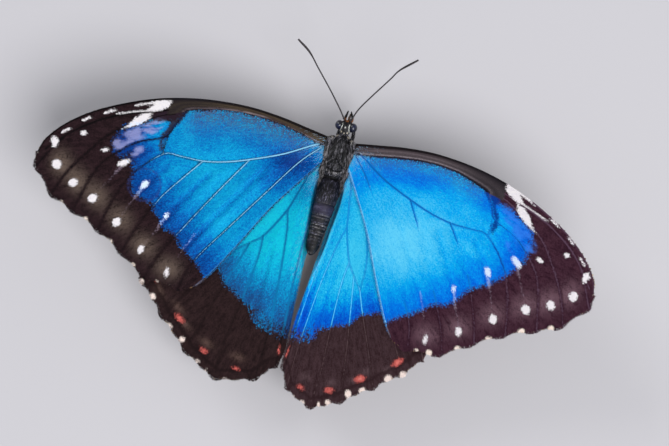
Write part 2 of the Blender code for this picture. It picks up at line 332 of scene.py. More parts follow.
# %% Wing outlines
WING_ARCH, WING_ARCH_SPAN = 0.9, 58.0
DIHEDRAL = {1: radians(12.6), -1: radians(16.1)}
FOREWING_ROOT = (3.55, -2.8, 1.25)
FOREWING_COSTA = [(-0.4, -1.0), (5.0, -1.7), (12.0, -2.5), (20.0, -2.6), (30.0, -1.3),
                  (40.0, 1.6), (50.0, 6.5), (56.5, 11.4), (60.2, 16.0), (61.3, 19.3)]
FOREWING_INNER = [(-0.4, 4.6), (3.5, 10.6), (8.0, 17.8), (12.3, 26.4), (17.0, 35.2),
                  (20.0, 39.1), (23.2, 40.7)]
FOREWING_VEIN_ENDS = [(23.2, 40.7), (31.1, 40.1), (37.6, 36.3), (43.8, 32.8), (50.3, 30.1),
                      (55.9, 27.8), (60.9, 22.6), (61.3, 19.3)]
FOREWING_SCALLOP, FOREWING_LOBES, FOREWING_TORNUS_SHARE = 0.5, 1, 0.44

HINDWING_ROOT = (3.55, 1.5, 0.25)
HINDWING_FOLD = {1: (1.0, 0.0, 0.0), -1: (0.84, radians(3.8), 0.22)}
INNER_FIELD = radians(5.0)
HINDWING_COSTA = [(-0.3, -0.8), (8.0, 0.2), (18.0, 4.6), (26.5, 12.2), (32.4, 21.3),
                  (35.0, 27.8), (35.1, 31.2)]
HINDWING_INNER = [(-0.3, 3.0), (-1.3, 6.0), (-1.9, 10.0), (-2.0, 17.0), (-2.2, 25.0),
                  (-2.6, 33.0), (-2.95, 40.0), (-3.0, 44.0), (-2.2, 47.4)]
HINDWING_VEIN_ENDS = [(-2.2, 47.4), (1.8, 51.5), (10.4, 53.5), (18.2, 49.4), (25.4, 43.1),
                      (31.6, 36.9), (35.1, 31.2)]
HINDWING_SCALLOP, HINDWING_LOBES, HINDWING_ANAL_SHARE = 0.75, 2, 0.35
CELL_STEPS = 16                  # samples of the outer edge between two veins
FULL_CELL = 6.0                  # narrower cells have shallower scallops


def smooth_curve(points, steps):
    """Catmull-Rom curve through the points, with steps samples per span."""
    points = [Vector(p) for p in points]
    ends = [2 * points[0] - points[1], *points, 2 * points[-1] - points[-2]]
    curve = []
    for a, b, c, d in zip(ends, ends[1:], ends[2:], ends[3:]):
        for i in range(steps):
            u = i / steps
            curve.append(0.5 * (2 * b + (c - a) * u + (2 * a - 5 * b + 4 * c - d) * u * u
                                + (3 * b - a - 3 * c + d) * u ** 3))
    return curve + [points[-1]]


def shares_of_length(line):
    lengths = np.cumsum([0.0] + [(b - a).length for a, b in zip(line, line[1:])])
    return lengths / lengths[-1]


def resampled(line, shares):
    """Points of a line at the given shares of its length."""
    own = shares_of_length(line)
    columns = np.array([tuple(point) for point in line]).T
    return np.stack([np.interp(shares, own, column) for column in columns], axis=-1)


def scalloped_margin(ends, depth, lobes):
    base = smooth_curve(ends, CELL_STEPS)
    line = [base[0]]
    for i in range(1, len(base) - 1):
        along = base[i + 1] - base[i - 1]
        inward = Vector((along.y, -along.x)).normalized()
        u = (i % CELL_STEPS) / CELL_STEPS
        dip = 0.45 * sin(pi * u) ** 2 + 0.55 * sin(lobes * pi * u) ** 2
        cell = i // CELL_STEPS
        width = (Vector(ends[cell + 1]) - Vector(ends[cell])).length
        line.append(base[i] + inward * depth * dip * min(1.0, width / FULL_CELL))
    return line + [base[-1]]


FOREWING_MARGIN = scalloped_margin(FOREWING_VEIN_ENDS, FOREWING_SCALLOP, FOREWING_LOBES)
HINDWING_MARGIN = scalloped_margin(HINDWING_VEIN_ENDS, HINDWING_SCALLOP, HINDWING_LOBES)
print("outer edges: %d and %d points" % (len(FOREWING_MARGIN), len(HINDWING_MARGIN)))

# %% [markdown]
# ## From the flat drawing to the body
#
# A wing rises from its root and arches slightly. The right hindwing is a
# little closed, like a fan, and both hindwings sink into a gutter below the
# abdomen. These functions take whole arrays of flat points, because every
# vein and every mark is carried by the same folding.

# %% Wing poses
ABDOMEN_START, ABDOMEN_END, ABDOMEN_RADIUS = 4.95, 22.8, 2.55
ABDOMEN_TURN = radians(1.2)
GUTTER_CLEARANCE, GUTTER_TURN, GUTTER_END, GUTTER_LEAST = 0.8, 17.0, 31.0, 1.0


def smooth_step(value):
    value = np.clip(value, 0.0, 1.0)
    return value * value * (3.0 - 2.0 * value)


def bell(value, width):
    """1 where the value is 0, and soon nothing beyond the width."""
    return np.exp(-(value / width) ** 2)


def unit(vectors):
    """The same directions, each made one long."""
    return vectors / np.linalg.norm(vectors, axis=-1)[..., None]


def abdomen_radius(y):
    along = np.clip((y - ABDOMEN_START) / (ABDOMEN_END - ABDOMEN_START), 0.0, 1.0)
    waist = 0.84 + 0.16 * smooth_step(along / 0.14)
    taper = 1.0 - 0.36 * smooth_step((along - 0.25) / 0.65)
    tail = np.sqrt(np.clip(1.0 - (np.clip(along - 0.84, 0.0, 1.0) / 0.16) ** 2, 0.0, 1.0))
    return ABDOMEN_RADIUS * waist * taper * tail


def plane_height(x, root, dihedral):
    span = x - root[0]
    arch = WING_ARCH * np.sin(pi * np.maximum(span, 0.0) / WING_ARCH_SPAN)
    return root[2] + span * tan(dihedral) + arch


def gutter_height(x, y, flat_height):
    body = abdomen_radius(np.minimum(y, GUTTER_TURN)) + GUTTER_CLEARANCE
    beyond = smooth_step((y - GUTTER_TURN) / (GUTTER_END - GUTTER_TURN))
    radius = body + (GUTTER_LEAST - body) * beyond
    round_part = -np.sqrt(np.maximum(radius ** 2 - x ** 2, 0.0))
    leave = smooth_step((x - 0.6 * radius) / (0.9 * radius))
    start = smooth_step((y - 3.5) / 3.0)
    sunk = round_part * (1.0 - leave) + flat_height * leave
    return flat_height + (sunk - flat_height) * start


def forewing_place(flat, side):
    s, t = flat[:, 0], flat[:, 1]
    x = FOREWING_ROOT[0] + s * cos(DIHEDRAL[side])
    z = plane_height(x, FOREWING_ROOT, DIHEDRAL[side])
    return np.stack([side * x, FOREWING_ROOT[1] + t, z], axis=-1)


def hindwing_place(flat, side):
    fold, swing, inner_fold = HINDWING_FOLD[side]
    angle = np.arctan2(flat[:, 0], flat[:, 1])
    reach = np.hypot(flat[:, 0], flat[:, 1])
    angle = angle * fold - swing + np.maximum(INNER_FIELD - angle, 0.0) * inner_fold
    x = HINDWING_ROOT[0] + reach * np.sin(angle) * cos(DIHEDRAL[side])
    y = HINDWING_ROOT[1] + reach * np.cos(angle)
    z = gutter_height(x, y, plane_height(x, HINDWING_ROOT, DIHEDRAL[side]))
    return np.stack([side * x, y, z], axis=-1)

# %% [markdown]
# ## The veins
#
# Veins are the tubes that stiffen a wing. They leave the root, fork at the
# closed cell in the middle, and each branch runs to its own point of the
# outer edge. Halfway between two branches the membrane has a soft crease.
# Every vein is a short list of flat points, smoothed into a curve.

# %% Vein paths
FOREWING_VEINS = {
    "costa": FOREWING_COSTA,
    "subcosta": [(-0.3, -0.5), (6, -1.1), (14, -1.95), (22, -1.9), (30, -0.5),
                 (36.5, 0.8)],
    "radius": [(0.3, 0.2), (5, -0.7), (10, -1.4), (15, -1.65), (20, -1.4), (25, -0.6),
               (30, 0.8), (36, 2.9), (44, 5.6), (50.5, 9.5), (55.5, 13.6), (59.8, 18.4)],
    "r5": [(33, 1.8), (39.7, 4.3), (48, 7.9), (53.9, 12), (57.3, 16), (60.9, 22.6)],
    "m1": [(34, 3.2), (38.2, 5.1), (45, 9.7), (48.6, 13.7), (53.4, 21.4), (55.9, 27.8)],
    "m2": [(33.6, 6.4), (34.9, 8.8), (40, 11.3), (43.7, 14.4), (47.6, 19.6), (50.3, 30.1)],
    "cell_end": [(31.6, 1.3), (32.4, 3.8), (33.6, 6.4), (34.3, 9.5), (34.3, 12.6)],
    "stem": [(0.3, 0.6), (2.3, 1.4), (8.5, 5.3), (15.3, 8.5), (20.4, 10.5), (25.3, 11.7),
             (30.2, 12), (34.3, 12.6), (39.6, 18.6), (42.3, 25.4), (43.8, 32.8)],
    "cua1": [(25.3, 11.7), (30.8, 19.7), (32.8, 23.2), (35.6, 29.8), (37.6, 36.3)],
    "cua2": [(15.3, 8.5), (20.7, 18), (26, 27.9), (29.2, 34.4), (31.1, 40.1)],
    "2a": [(0.4, 1.3), (4.6, 6.2), (10.1, 15), (15.4, 23.6), (20.5, 31.9), (22.4, 36.3),
           (23.2, 40.7)],
}
HINDWING_VEINS = {
    "costa": HINDWING_COSTA,
    "rs": [(0.4, 0.6), (6, 3.6), (14, 9.2), (23, 17), (30, 24.5), (35.1, 31.2)],
    "m1": [(10, 12), (16.5, 19.5), (24, 28), (31.6, 36.9)],
    "cell_top": [(4, 4.6), (7, 8), (10, 12), (12.6, 18), (13.4, 24.5)],
    "m2": [(13.4, 24.5), (16.4, 29.4), (20.8, 35.8), (25.4, 43.1)],
    "stem": [(0.3, 1.4), (1.7, 3.9), (2.9, 8), (4.3, 12.6), (6.2, 16.6), (8.1, 19.8),
             (10.6, 22.2), (13.4, 24.5)],
    "m3": [(10.6, 22.2), (12.6, 29), (15.2, 38), (18.2, 49.4)],
    "cua1": [(8.1, 19.8), (7.9, 24), (8.4, 30), (9.4, 38), (10.4, 46), (10.4, 53.4)],
    "cua2": [(4.3, 12.6), (3.2, 17.5), (2.2, 27), (1.5, 37), (1.4, 45), (1.8, 51.4)],
    "2a": [(0, 2.2), (-0.6, 8), (-0.9, 16), (-1.1, 27), (-1.7, 38), (-2.2, 47.3)],
}
VEIN_STEPS = 7


def halfway(first, second, start=0.15):
    """The crease between two veins, from their forks to the edge."""
    shares = np.linspace(start, 1.0, 14)
    return (resampled(smooth_curve(first, 4), shares)
            + resampled(smooth_curve(second, 4), shares)) / 2


def creases(veins, pairs):
    return [halfway(veins[a], veins[b]) for a, b in pairs]


FOREWING_CREASES = creases(FOREWING_VEINS, [("2a", "cua2"), ("cua2", "cua1"), ("m2", "m1"),
                                            ("m1", "r5")])
FOREWING_CREASES += [halfway(FOREWING_VEINS["cua1"], FOREWING_VEINS["stem"][7:]),
                     halfway(FOREWING_VEINS["stem"][7:], FOREWING_VEINS["m2"])]
HINDWING_CREASES = creases(HINDWING_VEINS, [("cua2", "cua1"), ("cua1", "m3"), ("m3", "m2"),
                                            ("m2", "m1"), ("2a", "cua2")])
print("%d veins, %d creases" % (len(FOREWING_VEINS) + len(HINDWING_VEINS),
                                len(FOREWING_CREASES) + len(HINDWING_CREASES)))

# %% [markdown]
# ## Where the markings lie
#
# The markings are described by their borders: outlines for the blue field
# and the pale bars, ellipses for the spots, and strokes for the dashes. For
# every point of a wing we work out how deep it lies inside each of them. The
# materials turn these depths into colour, so that borders stay crisp however
# coarse the mesh is.

# %% Measuring on the flat wing
def line_distance(flat, line):
    """How far every flat point is from a line."""
    line = np.array([tuple(point)[:2] for point in line])
    nearest = np.full(len(flat), 1e6)
    for a, b in zip(line, line[1:]):
        along = b - a
        share = np.clip((flat - a) @ along / max(along @ along, 1e-9), 0.0, 1.0)
        nearest = np.minimum(nearest, np.hypot(*(flat - a - share[:, None] * along).T))
    return nearest


def region_depth(flat, outline):
    """Distance from an outline, positive inside it."""
    closed = [tuple(point)[:2] for point in outline]
    closed.append(closed[0])
    x, y = flat.T
    inside = np.zeros(len(flat), dtype=bool)
    for (x0, y0), (x1, y1) in zip(closed, closed[1:]):
        if y0 != y1:
            inside ^= ((y0 > y) != (y1 > y)) & (x < (x1 - x0) * (y - y0) / (y1 - y0) + x0)
    return np.where(inside, 1.0, -1.0) * line_distance(flat, closed)


def spot_reach(flat, spot, heart):
    """Distance from a spot's centre, where its edge is 1; it points off the heart."""
    s, t, across, along = spot
    way = np.array([s, t]) - heart
    way /= np.hypot(*way)
    offset = flat - (s, t)
    return np.hypot(offset @ way * 2 / along, offset @ (-way[1], way[0]) * 2 / across)


def spot_depth(flat, spots, heart):
    """Depth inside the nearest spot."""
    depth = [(1.0 - spot_reach(flat, spot, heart)) * min(spot[2:]) / 2 for spot in spots]
    return np.max(depth, axis=0)


def glow(flat, spots, heart):
    """Soft smudges, from 0 to 1, described like the spots."""
    total = sum(bell(spot_reach(flat, spot, heart), 1.0) for spot in spots)
    return np.minimum(total, 1.0)


def stroke_depth(flat, strokes):
    """Depth inside strokes, each given as its points and its width."""
    depth = [width / 2 - line_distance(flat, points) for *points, width in strokes]
    return np.max(depth, axis=0)


def hills(flat, given):
    """A landscape of smooth hills: centre, reach in s and in t, and height."""
    s, t = flat.T
    return sum(height * np.exp(-((s - s0) / wide) ** 2 - ((t - t0) / tall) ** 2)
               for s0, t0, wide, tall, height in given)


def blue_tone(flat, border, level, fall, reach, given):
    """Lightness of the blue: it sinks towards the dark border."""
    return level - fall * bell(border, reach) + hills(flat, given)


def nearest_line(flat, lines):
    return np.min([line_distance(flat, line) for line in lines], axis=0)


def vein_distance(flat, veins):
    return nearest_line(flat, [smooth_curve(points, 4) for points in veins.values()])

# %% [markdown]
# ## Markings of the forewing
#
# The blue field ends in a ragged border. Beyond it the wing is blackish
# brown, with two rows of white spots, grey-brown clouds round the outer row,
# white dashes on the front edge beyond the olive strip, and cream notches
# between the vein ends. No two wings are the same: on the right one, the
# pattern sits about a millimetre further out.

# %% Forewing markings
FOREWING_HEART = (27.0, 6.0)
FOREWING_DRIFT = {1: (0.0, 0.0), -1: (0.95, -0.35)}
FOREWING_FRONT = {
    1: [(-3, 1), (0.6, 0.9), (2.2, 0.7), (5, -0.2), (10, -1), (15, -1.35),
        (20, -1.2), (25, -0.35), (30, 1.2), (31.6, 2)],
    -1: [(-3, 1.2), (0.6, 1.1), (2.2, 1), (5, 0.7), (9.7, 0.1), (14.5, -0.3),
         (19.3, -0.2), (24.1, 0.6), (29, 2.3), (31.4, 3.3)]}
FOREWING_CORNER = [(33.2, 4.6), (36.6, 5.6), (40.2, 7.4)]
FOREWING_BORDER = {
    1: [(43.6, 9.2), (45, 12), (44.6, 14.6), (43.2, 15.2), (41.2, 14.4), (39.4, 17),
        (39.2, 20.8), (38, 22.6), (35.2, 23.4), (33.6, 23.6), (32.8, 25), (30.9, 26.7),
        (30.2, 28.2), (27, 28.9), (25.2, 31), (22.4, 32.8), (20.2, 34.2), (18.6, 35.8)],
    -1: [(43.4, 9.4), (44.1, 12.2), (43.8, 14.8), (42.9, 17.1), (40.1, 20.3), (38.1, 21.8),
         (37, 22.9), (34.1, 24.2), (32.6, 25.3), (30.6, 28.3), (28.6, 29.3), (26.1, 29.8),
         (24.2, 31.4), (21.2, 33.3), (18.3, 34.9), (16.9, 36.2)]}
CELL_END_BAR = {
    1: [(31, 1.4), (35.6, 2.6), (38.7, 4.9), (37.6, 5.6), (34.4, 4.9), (34.6, 6.4), (35.7, 8.9),
        (35.3, 11.2), (34.9, 12.3), (34.5, 11.4), (34.9, 9.6), (33.4, 6.6), (32, 4.2)],
    -1: [(31.2, 2.4), (33.2, 3.4), (34.9, 4), (34.2, 6),
         (35.5, 8), (35.9, 9.6), (35.1, 12), (34.4, 11), (34.8, 9), (33, 5.8),
         (31.1, 3.6)]}
WHITE_BARS = [
    [(35.3, 0.5), (35.6, 2.1), (37, 3.1), (38.6, 3.9), (40.6, 4.4), (39.6, 3.2), (38.9, 2.4),
     (38.9, 1.6), (37.2, 0.8)],
    [(38.8, 4.3), (39, 5.3), (39.8, 6.6), (41.5, 8), (43.4, 9.1), (44.7, 9.7), (43.1, 8),
     (42.3, 6.4), (40.5, 4.9)]]
WHITE_STROKES = [((47, 5.9), (49, 7.1), 0.5), ((51.9, 9), (53.2, 10), 0.46),
                 ((55.6, 12.6), (57, 13.7), 0.44), ((38.4, 1.7), (40.6, 2.7), (42.8, 3.7), 0.42),
                 ((40, 4.1), (43, 5.1), (46.4, 6.6), 0.24)]
LILAC_CLOUDS = [(37.6, 7.2, 2.6, 5.6), (41.6, 10.2, 3.2, 6.4), (44.2, 12.8, 2.4, 3.0),
                (39.8, 13.4, 2.4, 3.4)]
FOREWING_OUTER_SPOTS = [(58.1, 16.3, 2.5, 1.5), (56.3, 20.9, 2.1, 2.1), (51.7, 23.9, 1.8, 2.1),
                        (46.6, 26.1, 1.9, 2.2), (40.1, 29.8, 1.8, 2.1), (33.3, 34.2, 1.4, 2),
                        (26.5, 37.7, 1, 2.2)]
FOREWING_INNER_SPOTS = [(52.4, 12.7, 1.1, 1.3), (46.8, 15.0, 0.9, 1.5), (42.0, 16.7, 1.3, 3.0),
                        (36.3, 20.2, 1.3, 2.4), (29.8, 25.5, 0.9, 1.6)]
PALE_TAILS = [((29.9, 25.6), (31.2, 29.4), 0.5), ((36.5, 21), (37.7, 23.6), 0.6),
              ((42.3, 17.6), (43.3, 19.4), 0.5), ((22.6, 27.6), (24, 31), (25, 33.6), 0.14),
              ((31.2, 29.4), (33.2, 33.4), 0.1), ((37.7, 23.6), (39.4, 28), 0.1),
              ((43.3, 19.6), (45.3, 23.4), 0.08)]
FOREWING_CREAMS = [(61.4, 19.6, 0.8, 0.9), (58.1, 26.1, 1.6, 1.5), (53.2, 28.9, 1.7, 1.5),
                   (47, 31, 1.7, 1.5), (40.4, 34.4, 1.7, 1.5), (34.2, 38.1, 1.7, 1.5),
                   (28.1, 40.3, 1.5, 1.3), (25.2, 40.6, 1, 1)]
FOREWING_OCELLI = [(47.1, 15.0, 2.0), (36.3, 20.2, 3.6), (30.1, 25.0, 3.1)]
FOREWING_TONES = {
    1: (0.64, 0.56, 6.2, [(22, 14, 6, 5, 0.1), (26, 5, 4, 3, -0.2), (13, 5.5, 6, 2.5, -0.14),
                          (4, 6, 5, 3.5, -0.5), (8, 6.6, 3.5, 2, -0.2), (8, 10.5, 4.5, 3.5, -0.36),
                          (12, 20, 2, 5, -0.12), (18, 25, 4, 4, 0.12),
                          (36.3, 20.2, 2.6, 2.6, -0.2), (14, 3, 9, 2.5, -0.12),
                          (43, 12, 3, 5, -0.25)]),
    -1: (0.66, 0.42, 5.5, [(16, 18, 8, 7, 0.3), (10, 3.5, 8, 3.2, -0.3),
                           (20, 3.5, 7, 2.5, -0.2), (32, 5, 4, 3, -0.3), (3, 7, 3, 4, -0.15),
                           (38, 5, 4, 2.5, -0.4), (41, 12, 4, 5, -0.12)])}
print("%d spots on a forewing" % len(FOREWING_OUTER_SPOTS + FOREWING_INNER_SPOTS))

# %% [markdown]
# ## Reading the forewing's marks
#
# One function turns the lists into numbers for every point: depths inside the
# marks, distances from veins and edges, and how light the blue is. It could
# be done in the material, but plain arithmetic is easier to follow and the
# scales can read the same numbers.

# %% Measuring the forewing
# What differs between the left and the right forewing, besides the lists above
VEIN_HUSH, CREASE_SHADE = {1: 0.0, -1: 0.5}, {1: 1.0, -1: 0.35}
TIP_FRAY, FRONT_DUSK, CREAM_CUT = {1: 1.4, -1: 0.5}, {1: 3.8, -1: 2.6}, {1: 0.3, -1: 0.04}
FAR = 9.0                        # stands for a mark that a wing doesn't have


def drifted(flat, side, way):
    """Moves flat points by the drift of the pattern, or back again."""
    s = flat[:, 0]
    share = smooth_step(s / 30.0) * smooth_step((66.0 - s) / 14.0)
    return flat + way * share[:, None] * np.array(FOREWING_DRIFT[side])


def clouds_round(spots, heart, inward, across, along):
    """Smudges on the heart side of every spot."""
    made = []
    for s, t, _, _ in spots:
        way = np.array([s, t]) - heart
        way /= np.hypot(*way)
        made.append((s - way[0] * inward, t - way[1] * inward, across, along))
    return made


def eye_rings(flat, ocelli):
    """Distance from the nearest eye-spot's centre, as a share of its radius."""
    shares = [np.hypot(*(flat - (s, t)).T) / radius for s, t, radius in ocelli]
    return np.min(shares, axis=0)


def forewing_marks(own, side):
    heart = np.array(FOREWING_HEART)
    flat = drifted(own, side, -1)
    s, t = flat.T
    front, border = FOREWING_FRONT[side], FOREWING_BORDER[side]
    field = front + FOREWING_CORNER + border + [(9.0, 48.0), (-9.0, 48.0)]
    margin = line_distance(flat, border)
    strip = front + [(38.0, 5.0), (47.0, 9.0), (70.0, 60.0), (-9.0, 60.0)]
    bar = region_depth(flat, CELL_END_BAR[side])
    costa = line_distance(own, smooth_curve(FOREWING_COSTA, 4))
    ahead = line_distance(flat, front)
    blue = region_depth(flat, field)
    hush = smooth_step((line_distance(flat, FOREWING_VEINS["stem"]) - 2.5) / 3.0)
    hush *= smooth_step((blue - 2.5) / 2.0) * VEIN_HUSH[side]
    veins = vein_distance(flat, FOREWING_VEINS) + hush
    crease = nearest_line(flat, FOREWING_CREASES)
    bars = np.max([region_depth(flat, bar) for bar in WHITE_BARS], axis=0)
    white = spot_depth(flat, FOREWING_OUTER_SPOTS + FOREWING_INNER_SPOTS, heart)
    white = np.max([white, bars, stroke_depth(flat, WHITE_STROKES)], axis=0)
    cloud = glow(flat, clouds_round(FOREWING_OUTER_SPOTS[1:], heart, 1.0, 5.4, 4.4), heart)
    cloud *= 0.25 + 0.75 * smooth_step((veins - 0.15) / 0.5)
    tone = blue_tone(flat, margin, *FOREWING_TONES[side])
    # Painted shade in the creases: darker along each crease, a little lighter beside it, most on
    # the left
    fold = smooth_step((np.hypot(s, t) - 14.0) / 12.0) * CREASE_SHADE[side]
    tone += fold * (0.1 * bell(crease, 2.4) - 0.26 * bell(crease, 0.8))
    rings = eye_rings(flat, FOREWING_OCELLI[1:2]) if side == 1 else np.full(len(flat), FAR)
    tone += 0.34 * bell(rings - 1.22, 0.09) * smooth_step((34.5 - s) / 3.0)
    lilac = glow(flat, LILAC_CLOUDS, (30.0, -2.0)) * smooth_step((s - 33.8) / 1.5)
    dusk = bell(ahead, FRONT_DUSK[side])
    dusk *= smooth_step((s - 2.0) / 3.0) * smooth_step((33.0 - s) / 6.0)
    fray = 1.1 + TIP_FRAY[side] * smooth_step((s - 36.0) / 4.0) * smooth_step((19.0 - t) / 3.0)
    inner = line_distance(own, smooth_curve(FOREWING_INNER, 4))
    return {"blue": blue, "white": white, "red": np.full(len(flat), -FAR), "vein": veins,
            "hush": hush, "crease": crease, "bar": bar, "cloud": cloud, "tone": tone,
            "ring": rings, "lilac": lilac, "fray": fray, "tail": stroke_depth(flat, PALE_TAILS),
            "near": smooth_step((36.8 - s) / 1.8) * smooth_step((-0.3 - bar) / 0.8),
            "cream": spot_depth(flat, FOREWING_CREAMS, heart) - CREAM_CUT[side],
            "front": np.minimum(-region_depth(flat, strip), 35.6 - s),
            "front_share": costa / (costa + ahead + 1e-6),
            "outer": smooth_step((s - 18.0) / 14.0),
            "edge": line_distance(own, FOREWING_MARGIN[::3]),
            "inner": inner + 0.4 * smooth_step((t - 37.5) / 3.0),
            "dusk": dusk, "eyespot": eye_rings(flat, FOREWING_OCELLI)}

# %% [markdown]
# ## Markings of the hindwing
#
# The hindwing is blue up to a line across its outer third, and near the body
# its blue thins out scale by scale. The dark border carries a row of red
# marks, and white crescents sit in the dips of the edge.

# %% Hindwing markings
HINDWING_HEART = (4.0, 14.0)
HINDWING_BORDER = [(24.5, 21.5), (22.5, 24.8), (20.5, 26.6), (18, 28), (15.6, 29.4),
                   (13.6, 32.4), (10.4, 33.8), (8.2, 35.2), (5.6, 36.6), (4.8, 38.2),
                   (1, 39), (-4, 39.2)]
HINDWING_BLUE = [(-8.0, 39.2), (-8.0, -4.0), (4.0, -2.0), (12.0, 5.0), (20.0, 12.0),
                 *HINDWING_BORDER]
HINDWING_RED = [(21.2, 42.5, 3.2, 1.6), (14.2, 48.0, 2.6, 1.3), (6.3, 50.0, 2.2, 1.0),
                (-2.0, 43.6, 0.8, 2.2), (29.2, 34.8, 3.2, 1.5)]
HINDWING_WHITE = [(31.4, 36.7, 2.2, 1.3), (28.3, 39.3, 2.5, 1.8), (22.9, 44.7, 2.5, 1.5),
                  (19.5, 46.9, 2.1, 2), (14.9, 50.7, 2, 1.4), (12.6, 52, 1.1, 1.4),
                  (8, 53, 2, 1.1), (5.2, 52.6, 1, 1), (-1.4, 49.4, 1.6, 1.1)]
HINDWING_SMUDGES = [(22.2, 40.2, 3.4, 1.5), (19.8, 43.4, 3.2, 1.3), (14.0, 46.2, 3.2, 1.5),
                    (27.2, 37.6, 3.4, 1.5), (6.6, 47.4, 3.0, 1.6)]
HINDWING_OCELLI = [(22.5, 15.5, 4.2), (17.8, 35.0, 2.5), (12.4, 38.6, 3.3), (6.3, 41.0, 3.0)]
# Right hindwing: the +0.5 hill by the inner margin is partly pale hair, partly painted light on
# the gutter's shaded wall
HINDWING_TONES = {1: (0.92, 0.76, 6.8, [(1, 7, 5, 5, -0.4), (-2.5, 34, 1.3, 12, -0.4),
                                    (1.5, 30, 4, 5, -0.28)]),
                  -1: (0.7, 0.5, 5.0, [(8, 17, 4, 7, 0.22), (11, 25, 4, 3, 0.1),
                                       (-0.8, 12, 1.1, 12, 0.5), (-0.6, 32, 2.6, 5, -0.4)])}
# How much smaller the spots are than listed, on the left and the right wing
WHITE_CUT, RED_CUT = {1: 0.38, -1: 0.14}, {1: 0.2, -1: 0.04}
# Marks that only forewings have lie far off on a hindwing
HINDWING_NONE = {"ring": FAR, "hush": 0.0, "lilac": 0.0, "tail": -FAR, "cream": -FAR,
                 "bar": -FAR, "front": -FAR, "front_share": 0.0, "outer": 0.0}


def hindwing_marks(flat, side):
    heart = np.array(HINDWING_HEART)
    s, t = flat.T
    border = line_distance(flat, HINDWING_BORDER)
    veins = vein_distance(flat, HINDWING_VEINS)
    crease = nearest_line(flat, HINDWING_CREASES)
    tone = blue_tone(flat, border, *HINDWING_TONES[side])
    # Painted shade: each crease is darkened a little
    tone -= 0.1 * bell(crease, 0.8)
    return {**{name: np.full(len(flat), value) for name, value in HINDWING_NONE.items()},
            "blue": region_depth(flat, HINDWING_BLUE), "vein": veins, "crease": crease,
            "white": spot_depth(flat, HINDWING_WHITE, heart) - WHITE_CUT[side],
            "red": spot_depth(flat, HINDWING_RED, heart) - RED_CUT[side],
            "cloud": 0.5 * glow(flat, HINDWING_SMUDGES, heart), "tone": tone,
            "fray": 1.2 + 3.0 * smooth_step((9.0 - s) / 6.0), "near": smooth_step((t - 16) / 10),
            "edge": line_distance(flat, HINDWING_MARGIN[::3]),
            "inner": line_distance(flat, smooth_curve(HINDWING_INNER, 4)),
            "dusk": 0.8 * glow(flat, [(28.0, 12.0, 14.0, 26.0)], heart),
            "eyespot": eye_rings(flat, HINDWING_OCELLI)}

# %% [markdown]
# ## The wing sheets
#
# A wing is a thin sheet, so each one is a grid of points from the front edge
# to the rear edge, given a top and an underside a fraction of a millimetre
# apart. Between the veins the sheet domes a little, and it is creased
# halfway. The veins are joined to the same mesh as tapering tubes.

# %% Wing surfaces
SHEET_HALF = 0.07
DOME, CREASE_DEPTH = 0.2, 0.16
WING_GRID_ROWS = 92
COSTA_STEPS, INNER_STEPS = 14, 12
SLOPE_STEP, LIE_STEP = 0.05, 0.2     # how far apart two points are to find a direction
FAN_CENTRE = (-6.0, -4.0)        # rows of scales fan out from here on the flat wing


def turned(faces, points, sample, upward):
    """Turns all faces over if the sample one looks the other way."""
    a, b, c = (Vector(points[corner]) for corner in sample[:3])
    if ((b - a).cross(c - a).z > 0) == upward:
        return faces
    return [tuple(reversed(face)) for face in faces]


# Place, marks, veins, outer, front and inner edge, vein ends, and where the grid turns
PAIRS = {"forewing": (forewing_place, forewing_marks, FOREWING_VEINS, FOREWING_MARGIN,
                      FOREWING_COSTA, FOREWING_INNER, FOREWING_VEIN_ENDS,
                      FOREWING_TORNUS_SHARE),
         "hindwing": (hindwing_place, hindwing_marks, HINDWING_VEINS, HINDWING_MARGIN,
                      HINDWING_COSTA, HINDWING_INNER, HINDWING_VEIN_ENDS,
                      HINDWING_ANAL_SHARE)}


